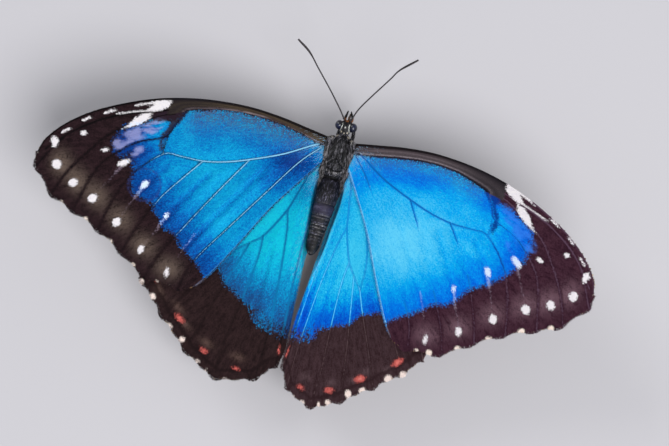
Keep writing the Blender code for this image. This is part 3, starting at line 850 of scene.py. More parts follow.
class Wing:
    """One wing: its flat grid, its place on the body and its markings."""

    def __init__(self, pair, side):
        self.name, self.slot = f"{pair}_{SIDES[side]}", pair + "_scales"
        self.side = side
        self.fore = pair == "forewing"
        self.place, self.marks_at, self.veins, margin, costa, inner, ends, turn = PAIRS[pair]
        self.ends = np.array(ends)
        costa, inner = smooth_curve(costa, COSTA_STEPS), smooth_curve(inner, INNER_STEPS)
        rear = inner[:-1] + margin
        shares = shares_of_length(rear)
        corner = shares[len(inner) - 1]
        facing = np.where(shares <= corner, turn * shares / corner,
                          turn + (1.0 - turn) * (shares - corner) / (1.0 - corner))
        front = resampled(costa, facing)
        rear = np.array([tuple(point) for point in rear])
        down = np.linspace(0.0, 1.0, WING_GRID_ROWS)[None, :, None]
        self.flat = front[:, None, :] * (1 - down) + rear[:, None, :] * down
        self.columns, self.rows = self.flat.shape[:2]
        self.marks = self.measure(self.flat.reshape(-1, 2))

    def measure(self, flat):
        return self.marks_at(flat, self.side)

    def normals(self, flat):
        """The upward direction of the wing at flat points."""
        here = self.place(flat, self.side)
        outward = self.place(flat + (SLOPE_STEP, 0.0), self.side) - here
        rearward = self.place(flat + (0.0, SLOPE_STEP), self.side) - here
        normal = np.cross(outward, rearward)
        normal *= np.sign(normal[:, 2:3]) / np.linalg.norm(normal, axis=1)[:, None]
        return normal

    def relief(self, marks):
        """Height of the membrane over the plane of its veins."""
        between = smooth_step(marks["vein"] / 3.0)
        dome = DOME - CREASE_DEPTH * bell(marks["crease"], 0.7)
        return between * dome * smooth_step(marks["edge"] / 3.0)

    def lie(self, flat):
        """The way the scales point: outwards from the root, along the veins."""
        way = flat - FAN_CENTRE
        way /= np.hypot(*way.T)[:, None]
        return unit(self.place(flat + LIE_STEP * way, self.side) - self.place(flat, self.side))

    def values(self, flat, marks):
        out, back = (flat - FAN_CENTRE).T
        radius, angle = np.hypot(out, back), np.arctan2(back, out)
        zero = np.zeros(len(flat))
        return {**marks, "flat": np.column_stack([flat, zero]),
                "grain": np.column_stack([angle * 40.0, radius, zero])}

    def sheet(self, offset):
        flat = self.flat.reshape(-1, 2)
        middle = self.place(flat, self.side)
        return middle + self.normals(flat) * (self.relief(self.marks) + offset)[:, None]

    def quads(self, points, upward):
        """Faces of the grid, turned so that they look up or down."""
        faces = grid_faces(self.columns, self.rows, False)
        return turned(faces, points, faces[len(faces) // 2], upward)


wings = [Wing(pair, side) for pair in ("forewing", "hindwing") for side in SIDES]
print("grid of a forewing: %d by %d" % (wings[0].columns, wings[0].rows))

# %% [markdown]
# ## Sheet and veins in one mesh
#
# The rim between top and underside closes the sheet. A vein is a tube of
# eight sides round its curve, and the sides that look down get the finish of
# the underside, so that the veins show on both faces of the wing.

# %% Wing meshes
VEIN_SIDES, UNDER_SIDES = 8, (2, 3, 4)
VEIN_RADII = {"costa": (0.34, 0.13), "subcosta": (0.24, 0.1), "radius": (0.3, 0.1),
              "stem": (0.23, 0.08), "cell_end": (0.1, 0.1)}
BRANCH_RADII = (0.16, 0.06)


def add_sheet(shape, wing):
    top, under = wing.sheet(SHEET_HALF), wing.sheet(-SHEET_HALF)
    values = wing.values(wing.flat.reshape(-1, 2), wing.marks)
    shape.add(top, wing.quads(top, True), 0, **values)
    shape.add(under, wing.quads(under, False), 1, **values)
    shift = len(top)
    last, rows = wing.columns - 1, wing.rows
    rim = [i * rows for i in range(wing.columns)]
    rim += [last * rows + j for j in range(1, rows)]
    rim += [i * rows + rows - 1 for i in range(last - 1, -1, -1)]
    rim += [j for j in range(rows - 2, 0, -1)]
    faces = [(a, b, b + shift, a + shift) for a, b in zip(rim, rim[1:] + rim[:1])]
    shape.faces.extend(faces)
    shape.slots.extend([0] * len(faces))


def add_vein(shape, wing, name, points):
    flat = np.array([tuple(point) for point in smooth_curve(points, VEIN_STEPS)])
    if wing.fore and name != "costa":
        flat = drifted(flat, wing.side, 1)
    thick, thin = VEIN_RADII.get(name, BRANCH_RADII)
    radii = np.linspace(thick, thin, len(flat))
    centres = wing.place(flat, wing.side)
    normals = wing.normals(flat)
    along = np.gradient(centres, axis=0)
    across = unit(np.cross(along, normals))
    angles = [2 * pi * (k + 0.5) / VEIN_SIDES for k in range(VEIN_SIDES)]
    rings = np.stack([centres + radii[:, None] * (cos(angle) * normals + sin(angle) * across)
                      for angle in angles], axis=1)
    tube, faces = loft([list(ring) for ring in rings])
    marks = wing.measure(flat)
    marks["vein"] = marks["hush"] - radii.mean()
    values = {label: np.repeat(column, VEIN_SIDES, axis=0)
              for label, column in wing.values(flat, marks).items()}
    top = [k not in UNDER_SIDES for k in range(VEIN_SIDES)]
    upper = [face for i, face in enumerate(faces[:-2]) if top[i % VEIN_SIDES]]
    lower = [face for i, face in enumerate(faces[:-2]) if not top[i % VEIN_SIDES]]
    shape.add(tube, upper, 0, **values)
    first = len(shape.points) - len(tube)
    shape.faces.extend(tuple(corner + first for corner in face) for face in lower + faces[-2:])
    shape.slots.extend([1] * (len(lower) + 2))


def wing_piece(wing, upper, under):
    shape = Shape()
    add_sheet(shape, wing)
    for name, points in wing.veins.items():
        add_vein(shape, wing, name, points)
    ride(shape.build("wing_" + wing.name, upper, under), wing.slot, wing.name)

# %% [markdown]
# ## The finish of the wings
#
# The blue isn't a pigment: ridges on each scale reflect blue light, so a wing
# has a satin gleam and shifts between deep blue and pale cyan. The wing that
# faces the light is azure and the other is nearer teal, which is given here
# as a ramp of four blues for each wing. A random number for every scale lets
# the borders break up scale by scale, as they do on a real wing.

# %% Colours of each wing
SCALE_PITCH = 4.6                # random cells to a millimetre
SCALE_RELIEF, SCALE_BUMP = 0.00004, 0.6
BLUE_STEPS = (0.0, 0.33, 0.66, 1.0)
SPOT_WHITE, CREAM, MARK_RED = (230, 225, 224), (230, 214, 202), (222, 108, 102)
# Each row: left and right forewing, left and right hindwing. The right wings are
# painted paler and the left ones darker: painted light, the same scales lit and shaded.
PAINTS = {
    "blues": ([(4, 48, 118), (2, 90, 168), (2, 136, 190), (18, 166, 206)],
              [(0, 62, 186), (0, 114, 218), (4, 170, 228), (98, 204, 238)],
              [(22, 60, 110), (6, 98, 156), (4, 146, 188), (8, 176, 194)],
              [(4, 58, 182), (0, 110, 214), (4, 174, 226), (70, 204, 238)]),
    "brown": ([(18, 9, 12), (44, 28, 32)], [(38, 16, 28), (66, 38, 50)],
              [(24, 14, 15), (46, 31, 32)], [(40, 24, 27), (64, 46, 50)]),
    "rim": ([(92, 98, 122), (58, 122, 172)], [(104, 102, 116), (150, 205, 232)], None, None),
    # Painted shadow: a thin line at the forewing's inner edge, dark on the left, mid-blue on the
    # right
    "edge_shadow": ((8, 10, 18), (26, 122, 196), None, None),
    "cloud": ((96, 82, 74), (104, 78, 88), (104, 82, 74), (100, 80, 84)),
    # Painted highlight: the pale veins of the left forewing stand for light caught by the raised
    # veins
    "vein": ((128, 190, 222), (10, 98, 176), (6, 106, 152), (96, 202, 242)),
    "deep": ((14, 10, 20), (10, 60, 150), (6, 100, 148), (24, 142, 208)),
    "thread": ((12, 8, 10), (78, 56, 72), (12, 8, 8), (84, 66, 68)),
    # Painted shade: the dark band along both sides of every vein
    "shade": ((6, 30, 70), (6, 120, 204), (8, 100, 150), (10, 130, 200)),
    "dusk": ((66, 70, 98), (52, 88, 150), (34, 76, 124), (46, 76, 140)),
    "lilac": ((146, 150, 196), (50, 124, 226), (90, 90, 120), (90, 90, 120)),
    "bar": ((38, 26, 36), (4, 50, 132), (0, 0, 0), (0, 0, 0)),
    "grain": (0.42, 0.26, 0.46, 0.36), "soft": (0.22, 0.5, 0.22, 0.26)}
WING_PAINTS = {wing.name: dict(zip(PAINTS, column))
               for wing, column in zip(wings, zip(*PAINTS.values()))}
STRIP_TONES = {1: [(0, (18, 15, 15)), (0.16, (52, 42, 37)), (0.34, (78, 66, 50)),
                   (0.46, (56, 46, 40)), (0.58, (82, 70, 54)), (0.7, (60, 48, 46)),
                   (0.8, (126, 112, 114)), (0.88, (50, 38, 44)), (0.96, (22, 16, 26))],
               -1: [(0, (20, 16, 19)), (0.16, (60, 52, 56)), (0.4, (94, 84, 88)),
                    (0.58, (74, 66, 70)), (0.68, (92, 82, 86)), (0.76, (140, 130, 136)),
                    (0.84, (58, 52, 62)), (0.93, (12, 12, 26))]}
EYESPOT_RINGS = [(0, (226, 232, 240)), (0.09, (226, 232, 240)), (0.12, (70, 96, 150)),
                 (0.17, (92, 44, 34)), (0.3, (16, 12, 12)), (0.5, (16, 12, 12)),
                 (0.53, (206, 168, 84)), (0.64, (206, 168, 84)), (0.67, (44, 30, 22)),
                 (0.76, (90, 66, 48))]
print("%d colours for each of %d wings" % (len(PAINTS), len(WING_PAINTS)))

# %% [markdown]
# ## Masks and grain
#
# A mask is a number from 0 to 1 that says where a tint lies. It comes from a
# depth by a soft step, and a random number for each scale makes its edge
# ragged. The grain is noise, drawn out along the rows of scales.

# %% Masks and grain
def ramp(tree, factor, stops):
    """A colour ramp from (place, screen colour) stops."""
    made = node(tree, "ShaderNodeValToRGB", Fac=factor)
    elements = made.color_ramp.elements
    for i, (place, colour) in enumerate(stops):
        if i < 2:
            elements[i].position = place
        element = elements[i] if i < 2 else elements.new(place)
        element.color = rgb(*colour)
    return made.outputs[0]


def scale_random(tree):
    """Two random numbers for each scale."""
    place = vector_maths(tree, "SCALE", attribute(tree, "flat", "Vector"), scale=SCALE_PITCH)
    cells = node(tree, "ShaderNodeTexVoronoi", {"voronoi_dimensions": "2D"}, Vector=place)
    parts = node(tree, "ShaderNodeSeparateColor", Color=cells.outputs["Color"])
    return parts.outputs[0], parts.outputs[1]


def inside(tree, mark, soft, random=None, ragged=0.0):
    """A mask from a mark's depth in millimetres, ragged by up to so many of them."""
    depth = attribute(tree, mark)
    if random is not None:
        depth = jittered(tree, depth, random, ragged)
    return ranged(tree, depth, -soft, soft)


def apart(tree, mark, value):
    """How far a mark's number is from a value."""
    return maths(tree, "ABSOLUTE", maths(tree, "SUBTRACT", attribute(tree, mark), value))


def streaks(tree, scale, stretch=0.16):
    """Noise drawn out along the way that the scales point."""
    grain = attribute(tree, "grain", "Vector")
    stretched = vector_maths(tree, "MULTIPLY", grain, (1.0, stretch, 1.0))
    return noise(tree, stretched, scale, 3.0, "2D")


def blotches(tree, scale, detail=3.0):
    """Cloudy noise over the flat wing."""
    return noise(tree, attribute(tree, "flat", "Vector"), scale, detail, "2D")

# %% [markdown]
# ## Brown and blue
#
# These are the two grounds of every wing. The brown is mottled by noise and
# has a dark thread on each vein. The blue is a ramp of four blues, and tone,
# streaks, clouds and chance together say how far up the ramp a scale is.

# %% The two grounds
def brown_ground(tree, random, paint):
    """Blackish brown, with pale dusty clouds, fine streaks and threads on the veins."""
    dark, warm = paint["brown"]
    vein = attribute(tree, "vein")
    flecks = times(tree, blotches(tree, 0.9), 0.4)
    flecks = times(tree, random, 0.35, times(tree, streaks(tree, 1.6), 0.6, flecks))
    smudge = times(tree, attribute(tree, "cloud"), ranged(tree, flecks, 0.25, 0.75))
    return layered(tree, mixed(tree, ranged(tree, flecks, 0.35, 0.95), dark, warm),
                   (smudge, paint["cloud"]),
                   (ranged(tree, vein, 0.6, 0.2), dark, 0.45),
                   (ranged(tree, vein, 0.16, 0.06), paint["thread"]))


def blue_field(tree, random, paint):
    """Four blues, picked by the tone of the place, by streaks, clouds and chance."""
    tone = times(tree, streaks(tree, 1.1), 0.22, attribute(tree, "tone"))
    tone = jittered(tree, times(tree, blotches(tree, 0.2), 0.24, tone), random, paint["grain"])
    tone = times(tree, blotches(tree, 3.4, 1.0), 0.3, tone)
    return ramp(tree, maths(tree, "SUBTRACT", tone, 0.38), zip(BLUE_STEPS, paint["blues"]))

# %% [markdown]
# ## The upper side
#
# The brown ground and the blue field come first, and every further mark is
# laid over the one before it, as a painter would: smudges, then veins, then
# the olive strip of the front edge, and the crisp spots at the very end. The
# blue has a little metal in it, which gives it the satin gleam.

# %% The upper finish
def upper_finish(wing):
    """The blue field on the brown ground, then every mark laid over the one before."""
    paint = WING_PAINTS[wing.name]
    material, tree, shader = painted("upper_" + wing.name, 0.45, 0.04)
    random, other = scale_random(tree)
    near, vein, inner = (attribute(tree, name) for name in ("near", "vein", "inner"))
    field = inside(tree, "blue", paint["soft"], random, attribute(tree, "fray"))
    dusk = times(tree, attribute(tree, "dusk"), ranged(tree, other, 0.0, 0.8))
    blue = mixed(tree, dusk, blue_field(tree, random, paint), paint["dusk"])
    lilac = times(tree, ranged(tree, attribute(tree, "lilac"), 0.22, 0.7),
                  ranged(tree, streaks(tree, 0.95, 0.35), 0.34, 0.6))
    halo = times(tree, ranged(tree, apart(tree, "ring", 1.0), 0.09, 0.03),
                 ranged(tree, other, 0.0, 0.7))
    # Painted shade along both sides of the veins, as if the raised veins shaded the membrane
    beside = times(tree, ranged(tree, vein, 0.42, 0.16), times(tree, field, 0.75))
    along = ranged(tree, times(tree, near, 0.14, vein), 0.2, 0.12)
    # Vein colours; the pale veins of the left forewing are painted highlight
    ridge = mixed(tree, field, paint["thread"], mixed(tree, near, paint["deep"], paint["vein"]))
    strip = layered(tree, ramp(tree, attribute(tree, "front_share"), STRIP_TONES[wing.side]),
                    (random, (38, 32, 32), 0.35), (attribute(tree, "outer"), (26, 24, 30), 0.62))
    colour = layered(
        tree, mixed(tree, field, brown_ground(tree, random, paint), blue),
        (inside(tree, "bar", 0.2, random, 0.5), paint["bar"], 0.94),
        (lilac, paint["lilac"], 0.66), (halo, (44, 60, 116), 0.5),
        (inside(tree, "tail", 0.14, random, 0.3),
         mixed(tree, field, (132, 116, 132), (150, 176, 226)), 0.62),
        (beside, paint["shade"]), (along, ridge, 0.92), (inside(tree, "front", 0.1), strip))
    if wing.fore:
        colour = layered(tree, colour,
                         (ranged(tree, inner, 0.3, 0.12), mixed(tree, field, *paint["rim"]), 0.7),
                         # the painted shadow line at the very edge
                         (ranged(tree, inner, 0.1, 0.04), paint["edge_shadow"]))
        chalk = layered(tree, SPOT_WHITE, (other, (200, 194, 210), 0.5),
                        (field, (196, 220, 250), 0.7))
    else:
        bars = times(tree, ranged(tree, apart(tree, "edge", 1.9), 0.6, 0.2),
                     ranged(tree, field, 1.0, 0.0))
        colour = layered(tree, colour, (bars, paint["brown"][0], 0.7))
        chalk = layered(tree, (238, 222, 212), (other, (214, 190, 188), 0.5))
    core = ranged(tree, attribute(tree, "red"), 0.25, 0.8)
    coral = layered(tree, mixed(tree, other, MARK_RED, (166, 74, 66)),
                    (core, (246, 158, 140), 0.6))
    colour = layered(tree, colour,
                     (inside(tree, "white", 0.12, random, 0.34), chalk, 0.96),
                     (inside(tree, "red", 0.22, random, 0.5), coral, 0.88),
                     (inside(tree, "cream", 0.12, random, 0.3), CREAM))
    wire(tree, colour, shader.inputs["Base Color"])
    wire(tree, ranged(tree, field, 0.0, 1.0, 0.66, 0.42), shader.inputs["Roughness"])
    wire(tree, times(tree, field, 0.22), shader.inputs["Metallic"])
    bumped(tree, shader, random, SCALE_RELIEF, SCALE_BUMP)
    return material

# %% [markdown]
# ## The underside
#
# A morpho hides its blue when it closes its wings. Below they are brown, with
# ringed eye-spots, made as a ramp over the distance from each spot's centre,
# and with pale waves along the edge, which are a sine of the distance from it.

# %% The under finish
def under_finish(wing):
    """Brown scales with ringed eye-spots and pale waves near the edge."""
    material, tree, shader = painted("under_" + wing.name, 0.7, 0.15)
    random, _ = scale_random(tree)
    flecks = times(tree, random, 0.4, streaks(tree, 1.2))
    edge = times(tree, blotches(tree, 0.35, 2.0), 1.6, attribute(tree, "edge"))
    waves, bar = (maths(tree, "SINE", times(tree, edge, pace)) for pace in (2.6, 0.62))
    waves = times(tree, ranged(tree, waves, 0.5, 0.9), ranged(tree, edge, 6.5, 5.0))
    share = jittered(tree, attribute(tree, "eyespot"), random, 0.08)
    colour = layered(
        tree, mixed(tree, ranged(tree, flecks, 0.3, 1.0), (66, 47, 34), (104, 78, 56)),
        (waves, (172, 146, 108)), (ranged(tree, bar, 0.86, 0.97), (150, 132, 104), 0.7),
        (ranged(tree, share, 1.1, 1.0),
         ramp(tree, maths(tree, "DIVIDE", share, 1.4), EYESPOT_RINGS)),
        (ranged(tree, attribute(tree, "vein"), 0.16, 0.04), (120, 92, 64), 0.6))
    wire(tree, colour, shader.inputs["Base Color"])
    bumped(tree, shader, random, SCALE_RELIEF, SCALE_BUMP)
    return material


FINISHES = {wing.name: (upper_finish(wing), under_finish(wing)) for wing in wings}
for wing in wings:
    wing_piece(wing, *FINISHES[wing.name])

# %% [markdown]
# ## One tree for every coat
#
# Scales, hairs and fringes are all small solids set in great numbers on a
# surface, so one Geometry Nodes tree makes them all. It scatters points on a
# source surface, sets a small solid on each point along the `lie` of the
# coat, and makes the copies real. The copies inherit the values of their
# root, so a scale has the colour of the place where it grows. Each copy also
# gets a tiny patch of the `OFBake` map at its root's place on the unwrapped
# skin, so that its colour can be baked.

# %% The coat tree
PATCH = 0.003
# Number to a square millimetre, length, width, lift, jitter and unevenness
COATS = {"scales": (28, 0.38, 0.2, 0.1, 0.06, 0.25),
         "underscales": (11, 0.38 * 1.4, 0.2 * 1.5, 0.1, 0.06, 0.25),
         "fringe": (100, 0.62, 0.13, 0.02, 0.12, 0.4),
         "head": (190, 0.34, 0.045, 0.2, 0.18, 0.5),
         "thorax": (84, 0.95, 0.065, 0.2, 0.18, 0.5),
         "abdomen": (95, 0.36, 0.15, 0.1, 0.18, 0.5),
         "palp": (150, 0.34, 0.05, 0.2, 0.12, 0.4),
         "hinge": (95, 1.05, 0.06, 0.3, 0.3, 0.6),
         "fuzz": (30, 1.3, 0.04, 0.16, 0.22, 0.6),
         "leg": (60, 0.5, 0.05, 0.3, 0.1, 0.5),
         "foreleg": (90, 0.55, 0.06, 0.3, 0.15, 0.4)}


def new_group(name, result, **sockets):
    """An empty Geometry Nodes tree, and what its group gives to the nodes."""
    tree = bpy.data.node_groups.new(name, "GeometryNodeTree")
    for label, kind in sockets.items():
        tree.interface.new_socket(label, in_out="INPUT", socket_type="NodeSocket" + kind)
    tree.interface.new_socket(result, in_out="OUTPUT", socket_type="NodeSocketGeometry")
    return tree, tree.nodes.new("NodeGroupInput").outputs


def end_group(tree, geometry, finish):
    """Sets the material and hands the geometry out of the group."""
    dressed = node(tree, "GeometryNodeSetMaterial", Geometry=geometry, Material=finish)
    wire(tree, dressed.outputs[0], tree.nodes.new("NodeGroupOutput").inputs[0])
    return tree


def named(tree, name, kind="FLOAT"):
    reader = node(tree, "GeometryNodeInputNamedAttribute", {"data_type": kind}, Name=name)
    return reader.outputs[0]


def copies_on(tree, points, solid, turn, width, length):
    """Copies of an object set on points, made real."""
    scale = node(tree, "ShaderNodeCombineXYZ", X=width, Y=width, Z=length)
    pattern = node(tree, "GeometryNodeObjectInfo", Object=solid)
    copies = node(tree, "GeometryNodeInstanceOnPoints", Points=points,
                  Instance=pattern.outputs["Geometry"], Rotation=turn, Scale=scale.outputs[0])
    return node(tree, "GeometryNodeRealizeInstances", Geometry=copies.outputs[0]).outputs[0]


def coat_tree():
    tree, given = new_group("Coat", "Coat", Skin="Geometry", Solid="Object", Finish="Material",
                            Density="Float", Length="Float", Width="Float", Lift="Float",
                            Jitter="Float", Uneven="Float", Seed="Int")

    def chance(low, high, shift, kind="FLOAT"):
        made = node(tree, "FunctionNodeRandomValue", {"data_type": kind})
        first = 0 if kind == "FLOAT_VECTOR" else 2
        wire(tree, low, made.inputs[first])
        wire(tree, high, made.inputs[first + 1])
        wire(tree, maths(tree, "ADD", given["Seed"], shift), made.inputs["Seed"])
        return made.outputs[0 if kind == "FLOAT_VECTOR" else 1]

    density = times(tree, given["Density"], named(tree, "amount"))
    scatter = node(tree, "GeometryNodeDistributePointsOnFaces", Mesh=given["Skin"],
                   Density=density, Seed=given["Seed"])
    normal = scatter.outputs["Normal"]
    spread = vector_maths(tree, "SCALE", chance((-1.0,) * 3, (1.0,) * 3, 1, "FLOAT_VECTOR"),
                          scale=given["Jitter"])
    along = vector_maths(tree, "SCALE", named(tree, "lie", "FLOAT_VECTOR"),
                         scale=maths(tree, "COSINE", given["Lift"]))
    rise = vector_maths(tree, "SCALE", normal, scale=maths(tree, "SINE", given["Lift"]))
    way = vector_maths(tree, "ADD", vector_maths(tree, "ADD", along, rise), spread)
    turn = node(tree, "FunctionNodeAxesToRotation", {"primary_axis": "Z", "secondary_axis": "X"},
                Primary_Axis=way, Secondary_Axis=normal).outputs[0]
    uneven = chance(maths(tree, "SUBTRACT", 1.0, given["Uneven"]), 1.0, 2)
    size = times(tree, named(tree, "size"), uneven)
    shade = node(tree, "GeometryNodeStoreNamedAttribute", {"domain": "POINT"},
                 Geometry=scatter.outputs["Points"], Name="shade", Value=chance(0.0, 1.0, 3))
    real = copies_on(tree, shade.outputs[0], given["Solid"], turn,
                     times(tree, given["Width"], size), times(tree, given["Length"], size))
    patch = vector_maths(tree, "SCALE", named(tree, "own", "FLOAT_VECTOR"), scale=PATCH)
    place = vector_maths(tree, "ADD", named(tree, "spread", "FLOAT_VECTOR"), patch)
    bake = node(tree, "GeometryNodeStoreNamedAttribute",
                {"data_type": "FLOAT2", "domain": "CORNER"}, Geometry=real, Name="OFBake",
                Value=place)
    return end_group(tree, bake.outputs[0], given["Finish"])


COAT = coat_tree()
print("the coat has %d inputs" % (len(COAT.interface.items_tree) - 1))

# %% [markdown]
# ## Growing a coat
#
# A tree does its work through a modifier on some surface. Its inputs are set,
# the result is copied out as a plain mesh, and the modifier is taken off
# again. The scale and the hair are the two small solids that get copied, so
# they have as few faces as their shapes allow.

# %% Growing a coat
def made_real(name, ob, group, **values):
    """Runs a tree on an object, and keeps what it makes as a mesh of its own."""
    modifier = ob.modifiers.new(group.name, "NODES")
    modifier.node_group = group
    for item in group.interface.items_tree:
        if item.name in values:
            modifier[item.identifier] = values[item.name]
    depsgraph = bpy.context.evaluated_depsgraph_get()
    mesh = bpy.data.meshes.new_from_object(ob.evaluated_get(depsgraph),
                                           preserve_all_data_layers=True, depsgraph=depsgraph)
    ob.modifiers.remove(modifier)
    mesh.name = name
    return linked(name, mesh)


def grow(coat, name, skin, solid, finish, seed):
    """Grows one of the coats on a surface; their sizes are in millimetres."""
    density, length, width, lift, jitter, uneven = COATS[coat]
    return made_real(name, skin, COAT, Solid=solid, Finish=finish, Density=density / MM ** 2,
                     Length=length * MM, Width=width * MM, Lift=lift, Jitter=jitter,
                     Uneven=uneven, Seed=seed)


def source(points, faces, values):
    """A surface that only carries a coat, and isn't kept."""
    return Shape().add(points, faces, **values).build("source", welded=False)


def discard(*objects):
    """Removes source surfaces and patterns once the coats are made."""
    for ob in objects:
        bpy.data.objects.remove(ob, do_unlink=True)


def pattern(name, points, faces, own):
    """A small closed solid; `own` is each point's place in its patch."""
    mesh = bpy.data.meshes.new(name)
    mesh.from_pydata(points, [], faces)
    store(mesh, "own", own)
    face_outwards(mesh)
    return linked(name, mesh)


def ring(sides, width, along, lift=0.0):
    """Points round a place on the Z axis."""
    angles = [2 * pi * (k + 0.5) / sides for k in range(sides)]
    return [(lift + cos(a) * width / 2, sin(a) * width / 2, along) for a in angles]


# A scale is a wedge with four faces: its root, the two corners of its tip and a keel.
SCALE_SOLID = pattern("scale_pattern",
                      [(0.0, 0.0, 0.0), (0.0, -0.6, 1.0), (0.0, 0.6, 1.0), (0.13, 0.0, 0.66)],
                      [(0, 2, 1), (0, 1, 3), (0, 3, 2), (1, 2, 3)],
                      [(0.0, -0.5, 0.0), (-0.5, 0.5, 0.0), (0.5, 0.5, 0.0), (0.0, 0.2, 0.0)])
# A hair is three-sided, bends upwards and ends in a single point.
HAIR_SOLID = pattern("hair_pattern",
                     ring(3, 1.0, 0.0) + ring(3, 0.8, 0.55, 0.5) + [(0.0, 0.0, 1.0)],
                     [(2, 1, 0), *grid_faces(2, 3)] + [(3 + k, 3 + (k + 1) % 3, 6)
                                                       for k in range(3)],
                     [(y, place, 0.0) for place in (-0.5, 0.1)
                      for _, y, _ in ring(3, 1.0, 0.0)] + [(0.0, 0.5, 0.0)])
print("a scale has %d faces, a hair %d" % (len(SCALE_SOLID.data.polygons),
                                           len(HAIR_SOLID.data.polygons)))

# %% [markdown]
# ## Scales on the wings
#
# Real wing scales are like roof tiles, about a tenth of a millimetre wide.
# These are a little larger, so that one wing stays within a sensible number
# of faces. They share the finish of the sheet below them. The edge has its
# own fringe of longer scales, dark with pale tufts in the notches.

# %% Wing scales and fringes
FRINGE_BAND = 0.3
UNWRAP_CORNER, UNWRAP_WIDTH = (4.0, 5.0), 68.0      # of a flat wing


def unwrapped(flat):
    """The places of flat points on the map of their wing."""
    return np.column_stack([(flat + UNWRAP_CORNER) / UNWRAP_WIDTH, np.zeros(len(flat))])


def wing_source(wing, top):
    """The top or underside of a wing, ready to grow scales."""
    flat, points = wing.flat.reshape(-1, 2), wing.sheet(SHEET_HALF if top else -SHEET_HALF)
    values = {**wing.values(flat, wing.marks), "lie": wing.lie(flat), "spread": unwrapped(flat),
              "size": 0.8 + 0.4 * smooth_step(wing.marks["edge"] / 4.0),
              "amount": smooth_step((wing.marks["vein"] - 0.08) / 0.2)}
    return source(points, wing.quads(points, top), values)


def fringe_source(wing):
    """A narrow band just inside the outer and inner edges."""
    count = len(wing.flat)
    edge = wing.flat[:, -1]
    ahead = np.gradient(edge, axis=0)
    inward = np.column_stack([ahead[:, 1], -ahead[:, 0]])
    inward /= np.hypot(*inward.T)[:, None]
    flat = np.concatenate([edge, edge + inward * FRINGE_BAND])
    outward = np.tile(-inward, (2, 1))
    here = wing.place(flat, wing.side)
    off = np.min(np.hypot(*(flat[:, None] - wing.ends).transpose(2, 0, 1)), axis=1)
    values = {**wing.values(flat, wing.measure(flat)), "spread": unwrapped(flat),
              "lie": unit(wing.place(flat + outward * 0.1, wing.side) - here),
              "size": 0.7 + 0.5 * bell(off, 1.5), "amount": np.ones(2 * count)}
    faces = grid_faces(2, count, False)
    return source(here, turned(faces, here, faces[0], True), values)


def dress_wing(wing, seed):
    upper, under = FINISHES[wing.name]
    for coat, skin, finish in (("scales", wing_source(wing, True), upper),
                               ("underscales", wing_source(wing, False), under),
                               ("fringe", fringe_source(wing), upper)):
        ride(grow(coat, f"{coat}_{wing.name}", skin, SCALE_SOLID, finish, seed), wing.slot)
        discard(skin)
        seed += 10


for seed, wing in enumerate(wings):
    dress_wing(wing, seed + 1)

# %% [markdown]
# ## The skin of the body
#
# Head, thorax and abdomen are one skin here, lofted over round sections from
# the face to the tip of the abdomen. It lies inside the solids by the depth
# of the coat. The thorax has a lengthwise groove that forks at the rear, and
# the abdomen is ringed.

# %% Body skin
SKIN_SIDES, SKIN_STEP = 72, 0.1
# y, half width, half height
SKIN_SECTIONS = [(-8.93, 0.18, 0.18), (-8.8, 0.6, 0.58), (-8.4, 1.08, 1.05), (-7.9, 1.36, 1.3),
                 (-7.3, 1.45, 1.38), (-6.7, 1.36, 1.32), (-6.2, 1.1, 1.16), (-5.85, 0.86, 0.95),
                 (-5.5, 0.95, 1.02), (-5.1, 1.22, 1.32), (-4.7, 1.45, 1.56), (-3.3, 2.04, 2.2),
                 (-1.3, 2.48, 2.67), (0.7, 2.63, 2.83), (2.5, 2.53, 2.73), (3.8, 2.26, 2.44),
                 (4.4, 1.95, 2.1), (4.8, 1.72, 1.86)]
ABDOMEN_SEAMS = np.array([7.4, 10.8, 13.6, 15.9, 18.1, 20.1, 21.9])
ABDOMEN_COAT = 0.12
SKIN_HOLLOW = 0.16


def skin_profile():
    """Half widths and heights at closely spaced places along the body."""
    front = np.array([tuple(point) for point in smooth_curve(SKIN_SECTIONS, 8)])
    y = np.concatenate([np.arange(SKIN_SECTIONS[0][0], ABDOMEN_END - 0.4, SKIN_STEP),
                        ABDOMEN_END - 0.4 * np.linspace(1.0, 0.02, 7) ** 2])
    wide, tall = (np.interp(y, front[:, 0], front[:, k]) for k in (1, 2))
    rear = np.maximum(abdomen_radius(y) - ABDOMEN_COAT, 0.05)
    blend = smooth_step((y - 4.3) / 1.2)
    off = np.min(np.abs(y[:, None] - ABDOMEN_SEAMS), axis=1)
    rear = rear * (1.0 - 0.05 * bell(off, 0.2))
    return y, wide + (rear - wide) * blend, tall + (rear - tall) * blend


def grooves(x, y, z):
    """How far the skin is hollowed by the grooves on the back."""
    top = smooth_step(z / 1.2)
    middle = bell(x, 0.12) * smooth_step((y + 4.6) / 0.8) * smooth_step((0.6 - y) / 0.6)
    fork = bell(np.abs(x) - 1.05 * (y - 0.1), 0.26)
    fork *= smooth_step((y - 0.1) / 0.3) * smooth_step((2.4 - y) / 0.4)
    shield = bell(y - 3.1 + 0.16 * x * x, 0.2) * smooth_step((2.2 - np.abs(x)) / 0.5)
    beside = bell(np.abs(x) - 1.5 - 0.1 * y, 0.26)
    beside *= smooth_step((y + 4.2) / 1.0) * smooth_step((1.4 - y) / 0.8)
    waist = bell(y - 4.75, 0.3)
    return top * (middle * 0.6 + fork + shield + beside) + waist


